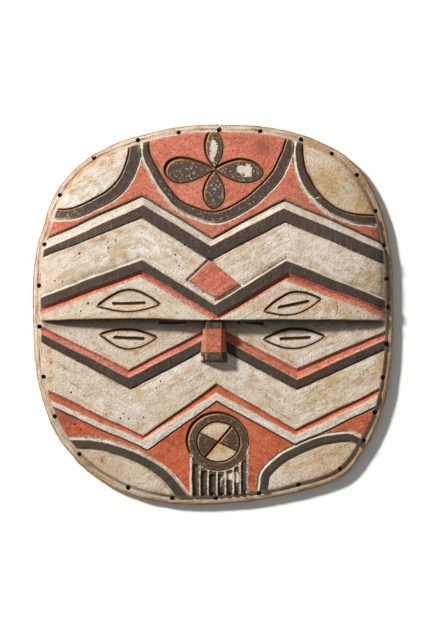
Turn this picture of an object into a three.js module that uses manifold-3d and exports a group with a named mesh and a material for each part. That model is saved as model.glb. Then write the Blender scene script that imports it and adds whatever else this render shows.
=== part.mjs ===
// A kidumu mask: a flat, round-cornered disc of soft wood that a dancer holds before the face.
// The upper half is thicker than the lower half, so its lower edge stands out as a straight brow
// ledge, with two narrow eye slits under it and a block nose below it. Zigzag bands, arcs,
// a four-petal flower, a diamond and a quartered disc with ribs are carved in low relief, and the
// rim is pierced all round for a raffia collar. The back is hollowed out.
// The mask lies on its back rim: +Z is the face's outward direction, +Y the top of the face.
// Units are millimetres.
import * as THREE from "three";
import { mergeVertices } from "three/addons/utils/BufferGeometryUtils.js";
import Module from "manifold-3d";

// Driving dimensions of the outline: four quarters of a superellipse about one centre
const outlineCentre = { x: 0, y: 12.4 };
const reach = { right: 167.9, left: 168.3, up: 165.2, down: 191 };
const squareness = { upRight: 2.65, upLeft: 2.51, downRight: 2.93, downLeft: 2.77 };
// Places where the carver's line swells out or is cut flat: direction and spread in degrees
const swells = [
  { at: 114.6, spread: 15.6, out: -3.1 },
  { at: 44.7, spread: 10.7, out: 2.9 },
  { at: -53.4, spread: 6.9, out: 4.2 },
  { at: -67.6, spread: 19.8, out: -5.5 },
  { at: -124.2, spread: 20, out: -2.8 },
  { at: 156.2, spread: 5, out: -1.9 },
];
const outlineSteps = 64;

// Depths, measured up from the flat back rim
const fieldEdge = 0.953; // where the carved field ends, as a share of the way to the outline
const fieldEdgeHeight = 17;
// The rim around the field, from its foot outwards: share of the way to the outline, and height
const rimProfile = [[0.962, 14], [0.98, 12.6], [0.996, 10.4], [1, 8.2], [1, 2.5], [0.992, 0]];
const rimRoot = { in: 0.03, down: 4 }; // how far the rim reaches in under the field, and its depth there
const lowerRise = 7.5; // how much higher the lower half's middle is than the field's edge
const ledgeStep = 21; // how far the brow stands out over the lower half, in the middle
const browFall = 0.55; // the share of that step which is gone at the top of the mask
const domePower = { field: 0.7, brow: 0.4 }; // less than 1 keeps the middle flat and rounds the edge
const wall = 11; // thickness of the wood in front of the hollow
const hollowReach = 0.9; // the hollow's edge as a share of the way to the outline
const hollowSlope = 22; // length over which the hollow follows the ledge's step
const hollowSetback = 4; // the hollow starts to rise this far above the ledge
const hollowLip = 1.5; // height of the hollow's edge, where it turns steeply down
const hollowDraft = 0.006; // how far that turn leans outwards, as a share of the way
const hollowRings = [0.12, 0.27, 0.4, 0.55, 0.7, 0.82, hollowReach];
const hollowSpokes = 36;

// Relief heights
const bandRise = 1.8;
const stripRise = 1.2; // the pale strip above the lower red field
const grooveDepth = 2.4;
const grooveBottom = { a: 0.2, b: 0.4, c: 0.36, d: 0.36 }; // its share of the way across the groove
const undercut = 1.8; // shallow dip beside a raised band
const dipReach = 7; // how far from a band the field starts to sink towards it
const carvedWall = 0.3; // the run of a nearly upright cut

// V-cuts: width and depth
const petalCut = [3.2, 2.1];
const eyeCut = [2.7, 1.9];
const slitCut = [2.4, 1.8];
const discEdgeCut = [3, 2.2];
const discInnerCut = [2.4, 1.8];
const crossCut = [2.4, 1.7];
const cutLift = 1.5; // how far a V reaches above the field
const cutTaper = 0.3; // the share of its size that an open cut keeps at its ends

// Zigzag lines, each through five stations: left end, left turn, middle, right turn, right end
const zigzags = {
  grooveA: [[-147.3, 75.8], [-65.8, 111.4], [-0.7, 72.1], [66.8, 108.0], [157.9, 67.2]],
  topA: [[-154.2, 61.8], [-64.8, 101.9], [-2.8, 64.3], [65.6, 98.9], [159.8, 58.8]],
  bottomA: [[-154.6, 55.1], [-66.4, 90.4], [-2.8, 50.9], [66.8, 86.7], [159.8, 47.2]],
  topB: [[-157.6, 16.8], [-66.4, 50.9], [1.0, 9.5], [68.0, 50.2], [160.3, 13.2]],
  bottomB: [[-157.6, 7.7], [-66.4, 41.1], [3.8, -0.2], [70.4, 38.7], [160.3, 5.3]],
  redB: [[-158.2, 1.0], [-67.1, 35.1], [2.0, -3.2], [68.0, 31.4], [160.3, -0.8]],
  ledge: [[-161.1, -5.3], [-78.0, -3.4], [0, -4.7], [80.7, -5.3], [165.4, -10.1]],
  redC: [[-158.6, -11.8], [-78.2, -51.0], [1.0, -9.7], [77.4, -50.4], [161.4, -18.6]],
  topC: [[-158.6, -18.6], [-78.2, -58.2], [1.0, -17.8], [77.4, -59.7], [161.4, -24.8]],
  bottomC: [[-156.7, -26.7], [-76.7, -68.4], [1.0, -27.2], [76.8, -68.7], [160.9, -32.4]],
  redD: [[-149.8, -71.5], [-65.8, -112.6], [3.1, -63.7], [76.2, -106.4], [155.9, -67.8]],
  whiteD: [[-149.2, -80.9], [-65.8, -117.0], [3.3, -72.2], [76.8, -112.6], [154.7, -74.7]],
  endD: [[-145.5, -87.1], [-61.4, -125.5], [3.3, -79.6], [76.8, -120.7], [149.6, -85.8]],
};
const panelReach = 173; // the lines are carried on past the rim, which then cuts them off
const panelTop = 184;
const panelBottom = -186;
const panelStations = [-panelReach, -66, 0, 68, panelReach];
const stationSteps = [7, 5, 5, 7]; // rows of points between the stations

// Arcs: points on the outer edge, the raised band's width at its two ends, and which side is inside
const arcs = [
  // The medallion that hangs from the crown
  {
    points: [[-65.3, 172], [-58.5, 130.8], [-34, 101], [-0.2, 87.3], [30, 97], [59.5, 124], [75.7, 172]],
    width: [5.5, 7],
    inside: 1,
  },
  // Upper left and upper right corners
  {
    points: [[-66, 172], [-71.1, 137.7], [-87.4, 112.8], [-115.9, 96.4], [-165, 89]],
    width: [11, 6.5],
    inside: -1,
  },
  {
    points: [[76, 172], [80.3, 130.4], [94.3, 110.3], [115.9, 91.8], [168, 84]],
    width: [6, 7],
    inside: 1,
  },
  // Lower left and lower right corners
  {
    points: [[-150, -121], [-117.6, -117.3], [-84.4, -125.7], [-51.2, -142.4], [-18, -176]],
    width: [5, 9.5],
    inside: -1,
  },
  {
    points: [[43, -178], [46.5, -155], [60, -134], [90, -117], [122.4, -110.9], [150, -121]],
    width: [5, 7.5],
    inside: -1,
  },
];
const arcSteps = 12;
const bevelWidth = 3.4; // the pale bevel cut along an arc's outer edge
const bevelDepth = 1.8;
const bevelSetback = 0.45; // its middle lies this share of its width outside the arc

// Small motifs
const flower = {
  centre: [1.7, 134.8],
  petals: [ // widest: its share of the way out; tip: less than 1 is blunter
    { toward: 91.5, length: 38, width: 15.3, widest: 0.52, tip: 0.95 },
    { toward: 182.4, length: 46.2, width: 19.8, widest: 0.667, tip: 0.5 },
    { toward: 270, length: 36.1, width: 16.7, widest: 0.62, tip: 0.6 },
    { toward: -3.5, length: 44.6, width: 19.1, widest: 0.6, tip: 0.65 },
  ],
  heart: 2, // where each petal starts, out from the centre
  steps: 14,
};
const diamond = [[-3.1, 50.2], [-21.6, 31.6], [3.2, 15.6], [24.0, 28.1]];
const disc = {
  centre: [4.9, -118.3],
  outer: [27.6, 25.9], // half its width and half its height
  inner: [20.2, 18.9],
  cross: [50, -26],
  steps: [24, 18],
};
const ribs = {
  places: [-20.1, -12.3, -4.5, 3.7, 11.5, 18.7, 24.9, 31.7], // spaced by eye, so uneven
  gap: 2, // below the disc
  bottom: -168,
  width: 3.4,
  crown: 0.4, // the share of its width that a rib keeps at its top
  rise: 0.9,
  root: 2,
};
const eyes = [
  { left: [-106.5, 7.3], right: [-48.8, 8.9], above: 14, below: 5.3 },
  { left: [48.3, 2.9], right: [99.9, 14.1], above: 11, below: 8 },
  { left: [-104.3, -19.3], right: [-52.1, -21.5], above: 6, below: 11.5 },
  { left: [48.3, -23.2], right: [104.0, -20.6], above: 8.5, below: 9.5 },
];
const eyeSteps = 7; // points along each of an eye's two arcs
const slit = { from: 0.25, to: 0.77, lift: 0.25, steps: 4 }; // the short cut inside an eye
const eyeSlits = [
  [[-50.6, -6.2], [-24.6, -5.9], [-24.6, -7.4], [-33.5, -8.4], [-50.0, -9.2]],
  [[22.0, -6.0], [25.2, -6.2], [25.0, -8.0], [22.2, -7.8]],
  [[29.9, -6.4], [47.3, -6.5], [47.0, -9.6], [38.0, -8.6], [29.9, -8.0]],
];
const nose = {
  top: -3.5,
  bottom: -44.4,
  middle: 1,
  frontWidth: 14,
  baseWidth: [19, 24.5],
  frontHeight: [42, 40],
  slant: 9, // how far the sides fall from the front before they drop straight
  root: 2, // height at which the block starts, inside the wood
  chin: { back: 2.4, out: 3, drop: 8, over: 1 }, // the slanting cut under the front
};

// Perforations for the raffia: direction from the outline's centre in degrees, and share of the way
const perforation = { radius: 1.9, sides: 6, length: 40, middle: 10 };
const perforationPlaces = [
  [115.0, 0.978], [101.7, 0.967], [87.9, 0.967], [74.5, 0.97], [61.5, 0.972], [51.4, 0.97],
  [41.3, 0.97], [29.2, 0.966], [18.3, 0.965], [7.5, 0.966], [-1.7, 0.968], [-14.0, 0.962],
  [-24.1, 0.962], [-34.3, 0.963], [-42.8, 0.97], [-52.9, 0.963], [-65.0, 0.962], [-76.7, 0.963],
  [-89.3, 0.966], [-101.8, 0.967], [-114.5, 0.968], [-131.2, 0.964], [-144.0, 0.964],
  [-156.2, 0.966], [-171.8, 0.965], [174.9, 0.964], [161.4, 0.963], [145.1, 0.975], [129.6, 0.983],
];

const aboveAll = 80; // a height over everything
const belowAll = -3;
const motifRoot = 0.5; // raised motifs start at this height, inside the wood
const weldDistance = 1e-4;

const wasm = await Module();
wasm.setup();

const degrees = Math.PI / 180;
const clamp = (value, low, high) => Math.min(high, Math.max(low, value));
const mix = (a, b, t) => a + (b - a) * t;
const smooth = (t) => t * t * (3 - 2 * t);

// Outline: distance from the centre in one direction
function outlineRadius(angle) {
  const right = Math.cos(angle);
  const up = Math.sin(angle);
  const halfWidth = right > 0 ? reach.right : reach.left;
  const halfHeight = up > 0 ? reach.up : reach.down;
  const side = right > 0 ? "Right" : "Left";
  const power = squareness[(up > 0 ? "up" : "down") + side];
  const sum = Math.abs(right / halfWidth) ** power + Math.abs(up / halfHeight) ** power;
  let radius = sum ** (-1 / power);
  for (const swell of swells) {
    const away = (((angle / degrees - swell.at + 180) % 360) + 360) % 360 - 180;
    radius += swell.out * Math.exp(-((away / swell.spread) ** 2));
  }
  return radius;
}

function outlinePoint(angle, share) {
  const radius = outlineRadius(angle) * share;
  return [outlineCentre.x + radius * Math.cos(angle), outlineCentre.y + radius * Math.sin(angle)];
}

// How far out a point lies: 0 at the centre, 1 on the outline
function shareOfWay(x, y) {
  const dx = x - outlineCentre.x;
  const dy = y - outlineCentre.y;
  return Math.hypot(dx, dy) / outlineRadius(Math.atan2(dy, dx));
}

// Height of the smooth field before any carving
function lowerField(x, y) {
  const dome = Math.max(0, 1 - (shareOfWay(x, y) / fieldEdge) ** 2);
  return fieldEdgeHeight + lowerRise * dome ** domePower.field;
}

function upperField(x, y) {
  const dome = Math.max(0, 1 - (shareOfWay(x, y) / fieldEdge) ** 2);
  const upWay = clamp((y - ledgeY(x)) / (reach.up + outlineCentre.y - ledgeY(x)), 0, 1);
  return lowerField(x, y) + ledgeStep * dome ** domePower.brow * (1 - browFall * upWay);
}

function lineY(line, x) {
  let i = 1;
  while (i < line.length - 1 && x > line[i][0]) i += 1;
  const [x0, y0] = line[i - 1];
  const [x1, y1] = line[i];
  return mix(y0, y1, (x - x0) / (x1 - x0));
}

function ledgeY(x) {
  return lineY(zigzags.ledge, x);
}

function field(x, y) {
  return y > ledgeY(x) ? upperField(x, y) : lowerField(x, y);
}

// Solids from meshes, and back again
function solidFromGeometry(geometry) {
  const bare = geometry.clone();
  bare.deleteAttribute("normal");
  bare.deleteAttribute("uv");
  const merged = mergeVertices(bare, weldDistance);
  const vertProperties = new Float32Array(merged.attributes.position.array);
  const triVerts = new Uint32Array(merged.index.array);
  return new wasm.Manifold(new wasm.Mesh({ numProp: 3, vertProperties, triVerts }));
}

// Cuts that cross near an edge can leave crumbs: only the block itself is kept
function largestBody(solid) {
  return solid.decompose().sort((a, b) => b.volume() - a.volume())[0];
}

function geometryFromSolid(solid) {
  const mesh = solid.getMesh();
  const geometry = new THREE.BufferGeometry();
  geometry.setAttribute("position", new THREE.BufferAttribute(new Float32Array(mesh.vertProperties), 3));
  geometry.setIndex(new THREE.BufferAttribute(new Uint32Array(mesh.triVerts), 1));
  geometry.computeVertexNormals();
  return geometry;
}

function geometryFromFaces(points, faces) {
  let volume = 0;
  for (const [a, b, c] of faces) {
    const [p, q, r] = [points[a], points[b], points[c]];
    volume += p[0] * (q[1] * r[2] - q[2] * r[1]);
    volume += p[1] * (q[2] * r[0] - q[0] * r[2]);
    volume += p[2] * (q[0] * r[1] - q[1] * r[0]);
  }
  const outward = volume > 0 ? faces : faces.map(([a, b, c]) => [a, c, b]);
  const geometry = new THREE.BufferGeometry();
  geometry.setAttribute("position", new THREE.Float32BufferAttribute(points.flat(), 3));
  geometry.setIndex(outward.flat());
  return geometry;
}

// A solid whose top follows rows of points, with a flat floor
function blockUnder(rows, floor) {
  const columns = rows[0].length;
  const points = rows.flat();
  const at = (row, column) => row * columns + column;
  const faces = [];
  for (let row = 0; row < rows.length - 1; row += 1) {
    for (let column = 0; column < columns - 1; column += 1) {
      faces.push([at(row, column), at(row, column + 1), at(row + 1, column)]);
      faces.push([at(row, column + 1), at(row + 1, column + 1), at(row + 1, column)]);
    }
  }
  const edge = [];
  const last = rows.length - 1;
  for (let column = 0; column < columns - 1; column += 1) edge.push(at(0, column));
  for (let row = 0; row < last; row += 1) edge.push(at(row, columns - 1));
  for (let column = columns - 1; column > 0; column -= 1) edge.push(at(last, column));
  for (let row = last; row > 0; row -= 1) edge.push(at(row, 0));
  const first = points.length;
  for (const index of edge) points.push([points[index][0], points[index][1], floor]);
  const middle = points.length;
  points.push([0, 0, floor]);
  edge.forEach((index, i) => {
    const next = (i + 1) % edge.length;
    faces.push([index, first + i, edge[next]]);
    faces.push([edge[next], first + i, first + next]);
    faces.push([first + i, middle, first + next]);
  });
  return solidFromGeometry(geometryFromFaces(points, faces));
}

// A solid swept through sections that all have the same number of corners
function sweep(sections, closed) {
  const corners = sections[0].length;
  const points = sections.flat();
  const faces = [];
  const spans = closed ? sections.length : sections.length - 1;
  for (let i = 0; i < spans; i += 1) {
    const next = (i + 1) % sections.length;
    for (let corner = 0; corner < corners; corner += 1) {
      const a = i * corners + corner;
      const b = i * corners + ((corner + 1) % corners);
      const c = next * corners + corner;
      const d = next * corners + ((corner + 1) % corners);
      faces.push([a, b, c]);
      faces.push([b, d, c]);
    }
  }
  if (!closed) {
    const end = (sections.length - 1) * corners;
    for (let corner = 1; corner < corners - 1; corner += 1) {
      faces.push([0, corner + 1, corner]);
      faces.push([end, end + corner, end + corner + 1]);
    }
  }
  return solidFromGeometry(geometryFromFaces(points, faces));
}

function prism(points, bottom, top) {
  const shape = new THREE.Shape(points.map(([x, y]) => new THREE.Vector2(x, y)));
  const geometry = new THREE.ExtrudeGeometry(shape, { depth: top - bottom, bevelEnabled: false });
  geometry.translate(0, 0, bottom);
  return solidFromGeometry(geometry);
}

// A V-shaped cut that follows a path over the field
function vCut(path, [width, depth], closed) {
  const sections = path.map(([x, y], i) => {
    const before = path[closed ? (i + path.length - 1) % path.length : Math.max(0, i - 1)];
    const after = path[closed ? (i + 1) % path.length : Math.min(path.length - 1, i + 1)];
    const along = new THREE.Vector2(after[0] - before[0], after[1] - before[1]).normalize();
    const taper = !closed && (i === 0 || i === path.length - 1) ? cutTaper : 1;
    const deep = depth * taper;
    const out = (width / 2) * taper * (1 + cutLift / deep);
    const left = [x - along.y * out, y + along.x * out];
    const right = [x + along.y * out, y - along.x * out];
    return [
      [...left, field(...left) + cutLift],
      [x, y, field(x, y) - deep],
      [...right, field(...right) + cutLift],
    ];
  });
  return sweep(sections, closed);
}

function smoothPath(points, steps) {
  const curve = new THREE.SplineCurve(points.map(([x, y]) => new THREE.Vector2(x, y)));
  return curve.getSpacedPoints(steps).map((point) => [point.x, point.y]);
}

// The carved face: rows of points that follow the zigzag lines
function carriedToReach(line) {
  const [a, b, , d, e] = line;
  const leftSlope = (b[1] - a[1]) / (b[0] - a[0]);
  const rightSlope = (e[1] - d[1]) / (e[0] - d[0]);
  const first = [-panelReach, a[1] + leftSlope * (-panelReach - a[0])];
  const last = [panelReach, e[1] + rightSlope * (panelReach - e[0])];
  return [first, line[1], line[2], line[3], last];
}

function levelLine(y) {
  return panelStations.map((x) => [x, y]);
}

function between(upper, lower, share) {
  return upper.map(([x, y], i) => [mix(x, lower[i][0], share), mix(y, lower[i][1], share)]);
}

function shifted(line, up) {
  return line.map(([x, y]) => [x, y + up]);
}

function pointsAlong(line) {
  const points = [];
  stationSteps.forEach((steps, i) => {
    for (let step = 0; step < steps; step += 1) {
      points.push([
        mix(line[i][0], line[i + 1][0], step / steps),
        mix(line[i][1], line[i + 1][1], step / steps),
      ]);
    }
  });
  points.push(line[4]);
  return points;
}

function facePanel() {
  const line = {};
  for (const [name, points] of Object.entries(zigzags)) line[name] = carriedToReach(points);
  const aboveB = shifted(line.topB, dipReach);
  const belowC = shifted(line.bottomC, -dipReach);
  const rows = [];
  const row = (at, relief, base) => {
    rows.push(pointsAlong(at).map(([x, y]) => [x, y, base(x, y) + relief]));
  };
  const wallUnder = (at, high, low, base) => {
    row(at, high, base);
    row(shifted(at, -carvedWall), low, base);
  };
  const fieldRows = (from, to, shares, base) => {
    for (const share of shares) row(between(from, to, share), 0, base);
  };
  const top = levelLine(panelTop);
  const bottom = levelLine(panelBottom);
  row(top, 0, upperField);
  fieldRows(top, line.grooveA, [0.25, 0.5, 0.75], upperField);
  row(line.grooveA, 0, upperField);
  row(between(line.grooveA, line.topA, grooveBottom.a), -grooveDepth, upperField);
  row(line.topA, bandRise, upperField);
  wallUnder(line.bottomA, bandRise, 0, upperField);
  fieldRows(line.bottomA, aboveB, [0.5], upperField);
  row(aboveB, 0, upperField);
  wallUnder(line.topB, -undercut, bandRise, upperField);
  row(line.bottomB, bandRise, upperField);
  row(between(line.bottomB, line.redB, grooveBottom.b), -grooveDepth, upperField);
  row(line.redB, 0, upperField);
  fieldRows(line.redB, line.ledge, [0.5], upperField);
  row(line.ledge, 0, upperField);
  row(shifted(line.ledge, -carvedWall), 0, lowerField);
  fieldRows(line.ledge, line.redC, [0.5], lowerField);
  row(line.redC, 0, lowerField);
  row(between(line.redC, line.topC, grooveBottom.c), -grooveDepth, lowerField);
  row(line.topC, bandRise, lowerField);
  wallUnder(line.bottomC, bandRise, -undercut, lowerField);
  row(belowC, 0, lowerField);
  fieldRows(belowC, line.redD, [0.5], lowerField);
  row(line.redD, 0, lowerField);
  row(between(line.redD, line.whiteD, grooveBottom.d), -grooveDepth, lowerField);
  row(line.whiteD, stripRise, lowerField);
  wallUnder(line.endD, stripRise, 0, lowerField);
  fieldRows(line.endD, bottom, [0.25, 0.5, 0.75], lowerField);
  row(bottom, 0, lowerField);
  return blockUnder(rows, 0);
}

// The plain field round an outline raised by the bands' height, cut to that outline
function raisedMotif(outline) {
  const cell = 16;
  const margin = 1;
  const xs = outline.map(([x]) => x);
  const ys = outline.map(([, y]) => y);
  const [left, right] = [Math.min(...xs) - margin, Math.max(...xs) + margin];
  const [bottom, top] = [Math.min(...ys) - margin, Math.max(...ys) + margin];
  const columns = Math.ceil((right - left) / cell);
  const rowCount = Math.ceil((top - bottom) / cell);
  const rows = [];
  for (let j = 0; j <= rowCount; j += 1) {
    const y = mix(bottom, top, j / rowCount);
    const points = [];
    for (let i = 0; i <= columns; i += 1) {
      const x = mix(left, right, i / columns);
      points.push([x, y, field(x, y) + bandRise]);
    }
    rows.push(points);
  }
  return blockUnder(rows, 0).intersect(prism(outline, motifRoot, aboveAll));
}

function offsetPath(path, distances) {
  return path.map(([x, y], i) => {
    const before = path[Math.max(0, i - 1)];
    const after = path[Math.min(path.length - 1, i + 1)];
    const along = new THREE.Vector2(after[0] - before[0], after[1] - before[1]).normalize();
    return [x - along.y * distances[i], y + along.x * distances[i]];
  });
}

function raisedArc(arc) {
  const outer = smoothPath(arc.points, arcSteps);
  const widths = outer.map((_, i) => arc.inside * mix(arc.width[0], arc.width[1], i / arcSteps));
  const inner = offsetPath(outer, widths);
  return raisedMotif([...outer, ...inner.reverse()]);
}

function arcBevel(arc) {
  const outer = smoothPath(arc.points, arcSteps);
  const away = offsetPath(outer, outer.map(() => -arc.inside * bevelWidth * bevelSetback));
  return vCut(away, [bevelWidth, bevelDepth], false);
}

// A petal, pointed at the heart and round at its tip
function petalPath(petal) {
  const turn = petal.toward * degrees;
  const root = (petal.tip * petal.widest) / (1 - petal.widest);
  const path = [];
  for (let i = 0; i < flower.steps; i += 1) {
    const around = (i / flower.steps) * 2 * Math.PI;
    const along = (1 - Math.cos(around)) / 2;
    const rise = (along / petal.widest) ** root;
    const bulge = rise * ((1 - along) / (1 - petal.widest)) ** petal.tip;
    const out = flower.heart + along * (petal.length - flower.heart);
    const across = Math.sign(Math.sin(around)) * bulge * (petal.width / 2);
    path.push([
      flower.centre[0] + out * Math.cos(turn) - across * Math.sin(turn),
      flower.centre[1] + out * Math.sin(turn) + across * Math.cos(turn),
    ]);
  }
  return path;
}

function ellipsePath([x, y], [across, up], steps) {
  const path = [];
  for (let i = 0; i < steps; i += 1) {
    const angle = (i / steps) * 2 * Math.PI;
    path.push([x + across * Math.cos(angle), y + up * Math.sin(angle)]);
  }
  return path;
}

// An eye: two shallow arcs that meet in a point at each corner
function eyePath(eye) {
  const path = [];
  const [x0, y0] = eye.left;
  const [x1, y1] = eye.right;
  for (let i = 0; i < eyeSteps; i += 1) {
    const t = i / eyeSteps;
    path.push([mix(x0, x1, t), mix(y0, y1, t) + eye.above * Math.sin(Math.PI * t)]);
  }
  for (let i = eyeSteps; i > 0; i -= 1) {
    const t = i / eyeSteps;
    path.push([mix(x0, x1, t), mix(y0, y1, t) - eye.below * Math.sin(Math.PI * t)]);
  }
  return path;
}

function eyeSlitPath(eye) {
  const path = [];
  for (let i = 0; i <= slit.steps; i += 1) {
    const t = mix(slit.from, slit.to, i / slit.steps);
    const lift = (eye.above - eye.below) * slit.lift;
    path.push([mix(eye.left[0], eye.right[0], t), mix(eye.left[1], eye.right[1], t) + lift]);
  }
  return path;
}

function discCross() {
  const cuts = [];
  for (const angle of disc.cross) {
    const dx = disc.inner[0] * Math.cos(angle * degrees);
    const dy = disc.inner[1] * Math.sin(angle * degrees);
    const [x, y] = disc.centre;
    const path = [-1, -0.33, 0.33, 1].map((share) => [x + dx * share, y + dy * share]);
    cuts.push(vCut(path, crossCut, false));
  }
  return cuts;
}

// The height on the face of the disc's lower edge, at a place across
function discEdgeY(x) {
  const share = (x - disc.centre[0]) / disc.outer[0];
  return disc.centre[1] - disc.outer[1] * Math.sqrt(Math.max(0, 1 - share * share));
}

function rib(x) {
  const half = ribs.width / 2;
  const sections = [discEdgeY(x) - ribs.gap, ribs.bottom].map((y) => {
    const low = lowerField(x, y) - ribs.root;
    const high = lowerField(x, y) + ribs.rise;
    return [
      [x - half, y, low],
      [x - half * ribs.crown, y, high],
      [x + half * ribs.crown, y, high],
      [x + half, y, low],
    ];
  });
  return sweep(sections, false);
}

// The nose: a block with a narrower flat front, joined to the brow above it
function noseBlock() {
  const section = (y, end) => {
    const x = nose.middle;
    const front = nose.frontWidth / 2;
    const base = nose.baseWidth[end] / 2;
    const frontHeight = nose.frontHeight[end];
    return [
      [x - base, y, nose.root],
      [x + base, y, nose.root],
      [x + base, y, frontHeight - nose.slant],
      [x + front, y, frontHeight],
      [x - front, y, frontHeight],
      [x - base, y, frontHeight - nose.slant],
    ];
  };
  const block = sweep([section(nose.top, 0), section(nose.bottom, 1)], false);
  const front = nose.frontHeight[1];
  const { back, out, drop, over } = nose.chin;
  const under = sweep(
    [nose.middle - nose.baseWidth[1], nose.middle + nose.baseWidth[1]].map((x) => [
      [x, nose.bottom + back, front + over],
      [x, nose.bottom - out, front - drop],
      [x, nose.bottom - out, front + over],
    ]),
    false,
  );
  return block.subtract(under);
}

// The rim: a low sloping shelf round the field, rounded over at the edge
function rimRing() {
  const sections = [];
  for (let i = 0; i < outlineSteps; i += 1) {
    const angle = (i / outlineSteps) * 2 * Math.PI;
    const under = outlinePoint(angle, fieldEdge - rimRoot.in);
    sections.push([
      [...under, 0],
      [...under, fieldEdgeHeight - rimRoot.down],
      [...outlinePoint(angle, fieldEdge), fieldEdgeHeight],
      ...rimProfile.map(([share, height]) => [...outlinePoint(angle, share), height]),
    ]);
  }
  return sweep(sections, true);
}

function rimLine(share) {
  const path = [];
  for (let i = 0; i < outlineSteps; i += 1) {
    path.push(outlinePoint((i / outlineSteps) * 2 * Math.PI, share));
  }
  return path;
}

// The hollow behind the face, which follows the front at the thickness of the wall
function hollowHeight(x, y) {
  const step = upperField(x, y) - lowerField(x, y);
  const share = smooth(clamp((y - ledgeY(x) - hollowSetback) / hollowSlope, 0, 1));
  return lowerField(x, y) + step * share - wall;
}

function hollow() {
  const angles = Array.from({ length: hollowSpokes }, (_, i) => (i / hollowSpokes) * 2 * Math.PI);
  const centre = [outlineCentre.x, outlineCentre.y];
  const points = [[...centre, hollowHeight(...centre)]];
  for (const ring of hollowRings) {
    for (const angle of angles) {
      const [x, y] = outlinePoint(angle, ring);
      points.push([x, y, ring === hollowReach ? hollowLip : hollowHeight(x, y)]);
    }
  }
  for (const angle of angles) points.push([...outlinePoint(angle, hollowReach + hollowDraft), belowAll]);
  const bottom = points.length;
  points.push([...centre, belowAll]);
  const faces = [];
  for (let i = 0; i < hollowSpokes; i += 1) {
    const next = (i + 1) % hollowSpokes;
    faces.push([0, 1 + i, 1 + next]);
    for (let ring = 0; ring < hollowRings.length; ring += 1) {
      const a = 1 + ring * hollowSpokes;
      const b = a + hollowSpokes;
      faces.push([a + i, b + i, b + next]);
      faces.push([a + i, b + next, a + next]);
    }
    const edge = 1 + hollowRings.length * hollowSpokes;
    faces.push([edge + i, bottom, edge + next]);
  }
  return solidFromGeometry(geometryFromFaces(points, faces));
}

function perforationHole([angleInDegrees, share]) {
  const { radius, sides, length } = perforation;
  const [x, y] = outlinePoint(angleInDegrees * degrees, share);
  const geometry = new THREE.CylinderGeometry(radius, radius, length, sides);
  geometry.rotateX(Math.PI / 2);
  geometry.translate(x, y, perforation.middle);
  return solidFromGeometry(geometry);
}

function carvedMask() {
  const insideRim = prism(rimLine(fieldEdge), 0, aboveAll);
  let mask = facePanel();
  for (const arc of arcs) mask = mask.add(raisedArc(arc));
  mask = mask.add(raisedMotif(diamond));
  for (const x of ribs.places) mask = mask.add(rib(x));
  mask = mask.intersect(insideRim).add(rimRing()).add(noseBlock());
  const cuts = [
    ...arcs.map(arcBevel),
    ...flower.petals.map((petal) => vCut(petalPath(petal), petalCut, true).intersect(insideRim)),
    ...eyes.map((eye) => vCut(eyePath(eye), eyeCut, true)),
    ...eyes.map((eye) => vCut(eyeSlitPath(eye), slitCut, false)),
    ...discCross(),
    vCut(ellipsePath(disc.centre, disc.outer, disc.steps[0]), discEdgeCut, true),
    vCut(ellipsePath(disc.centre, disc.inner, disc.steps[1]), discInnerCut, true),
    ...eyeSlits.map((opening) => prism(opening, belowAll, aboveAll)),
    ...perforationPlaces.map(perforationHole),
    hollow(),
  ];
  for (const cut of cuts) mask = mask.subtract(cut);
  return largestBody(mask);
}

const mask = new THREE.Mesh(
  geometryFromSolid(carvedMask()),
  new THREE.MeshStandardMaterial({ color: "#d3c2a6", roughness: 0.9, metalness: 0 }),
);
mask.name = "mask";
mask.geometry.computeBoundingBox();
const middle = mask.geometry.boundingBox.getCenter(new THREE.Vector3());
mask.geometry.translate(-middle.x, -middle.y, 0);

const group = new THREE.Group();
group.add(mask);

export default group;
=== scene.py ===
# %% [markdown]
# # A carved and painted kidumu mask
# The mask is one block of soft wood: a flat, round-cornered disc whose upper half overhangs the
# lower half at a straight brow ledge. Its patterns are cut a couple of millimetres deep and filled
# with white kaolin, red earth and black. The solid model gives the form, the ledge, the nose, the
# bands and the hollow back. This lesson makes the skin that the solid is dressed in: the same
# form at a finer grain, with V-cuts, tool marks, worm holes and worn pigment.

# %% Load the frame
import math

import bpy
import numpy as np
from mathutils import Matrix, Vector
from mathutils.geometry import delaunay_2d_cdt


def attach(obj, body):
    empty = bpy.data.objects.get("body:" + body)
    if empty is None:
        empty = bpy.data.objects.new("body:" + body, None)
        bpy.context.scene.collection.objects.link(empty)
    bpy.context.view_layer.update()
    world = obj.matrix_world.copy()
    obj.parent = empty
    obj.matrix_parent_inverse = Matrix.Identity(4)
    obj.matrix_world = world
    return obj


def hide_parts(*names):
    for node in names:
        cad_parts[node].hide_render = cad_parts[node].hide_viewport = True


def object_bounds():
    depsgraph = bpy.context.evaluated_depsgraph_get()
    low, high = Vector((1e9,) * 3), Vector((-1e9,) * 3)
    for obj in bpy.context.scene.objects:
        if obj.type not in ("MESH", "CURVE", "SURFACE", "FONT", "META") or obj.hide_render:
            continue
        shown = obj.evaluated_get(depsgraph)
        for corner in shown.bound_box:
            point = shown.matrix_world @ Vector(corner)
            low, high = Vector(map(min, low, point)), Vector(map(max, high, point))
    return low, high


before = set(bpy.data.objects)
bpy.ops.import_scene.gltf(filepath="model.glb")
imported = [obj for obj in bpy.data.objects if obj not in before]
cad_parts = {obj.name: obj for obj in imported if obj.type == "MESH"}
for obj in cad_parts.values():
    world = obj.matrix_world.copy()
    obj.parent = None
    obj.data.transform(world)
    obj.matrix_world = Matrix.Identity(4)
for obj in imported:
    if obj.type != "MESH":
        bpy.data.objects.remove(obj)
cad_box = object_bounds()
print("nodes:", list(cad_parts), "box in metres:", cad_box)

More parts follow.
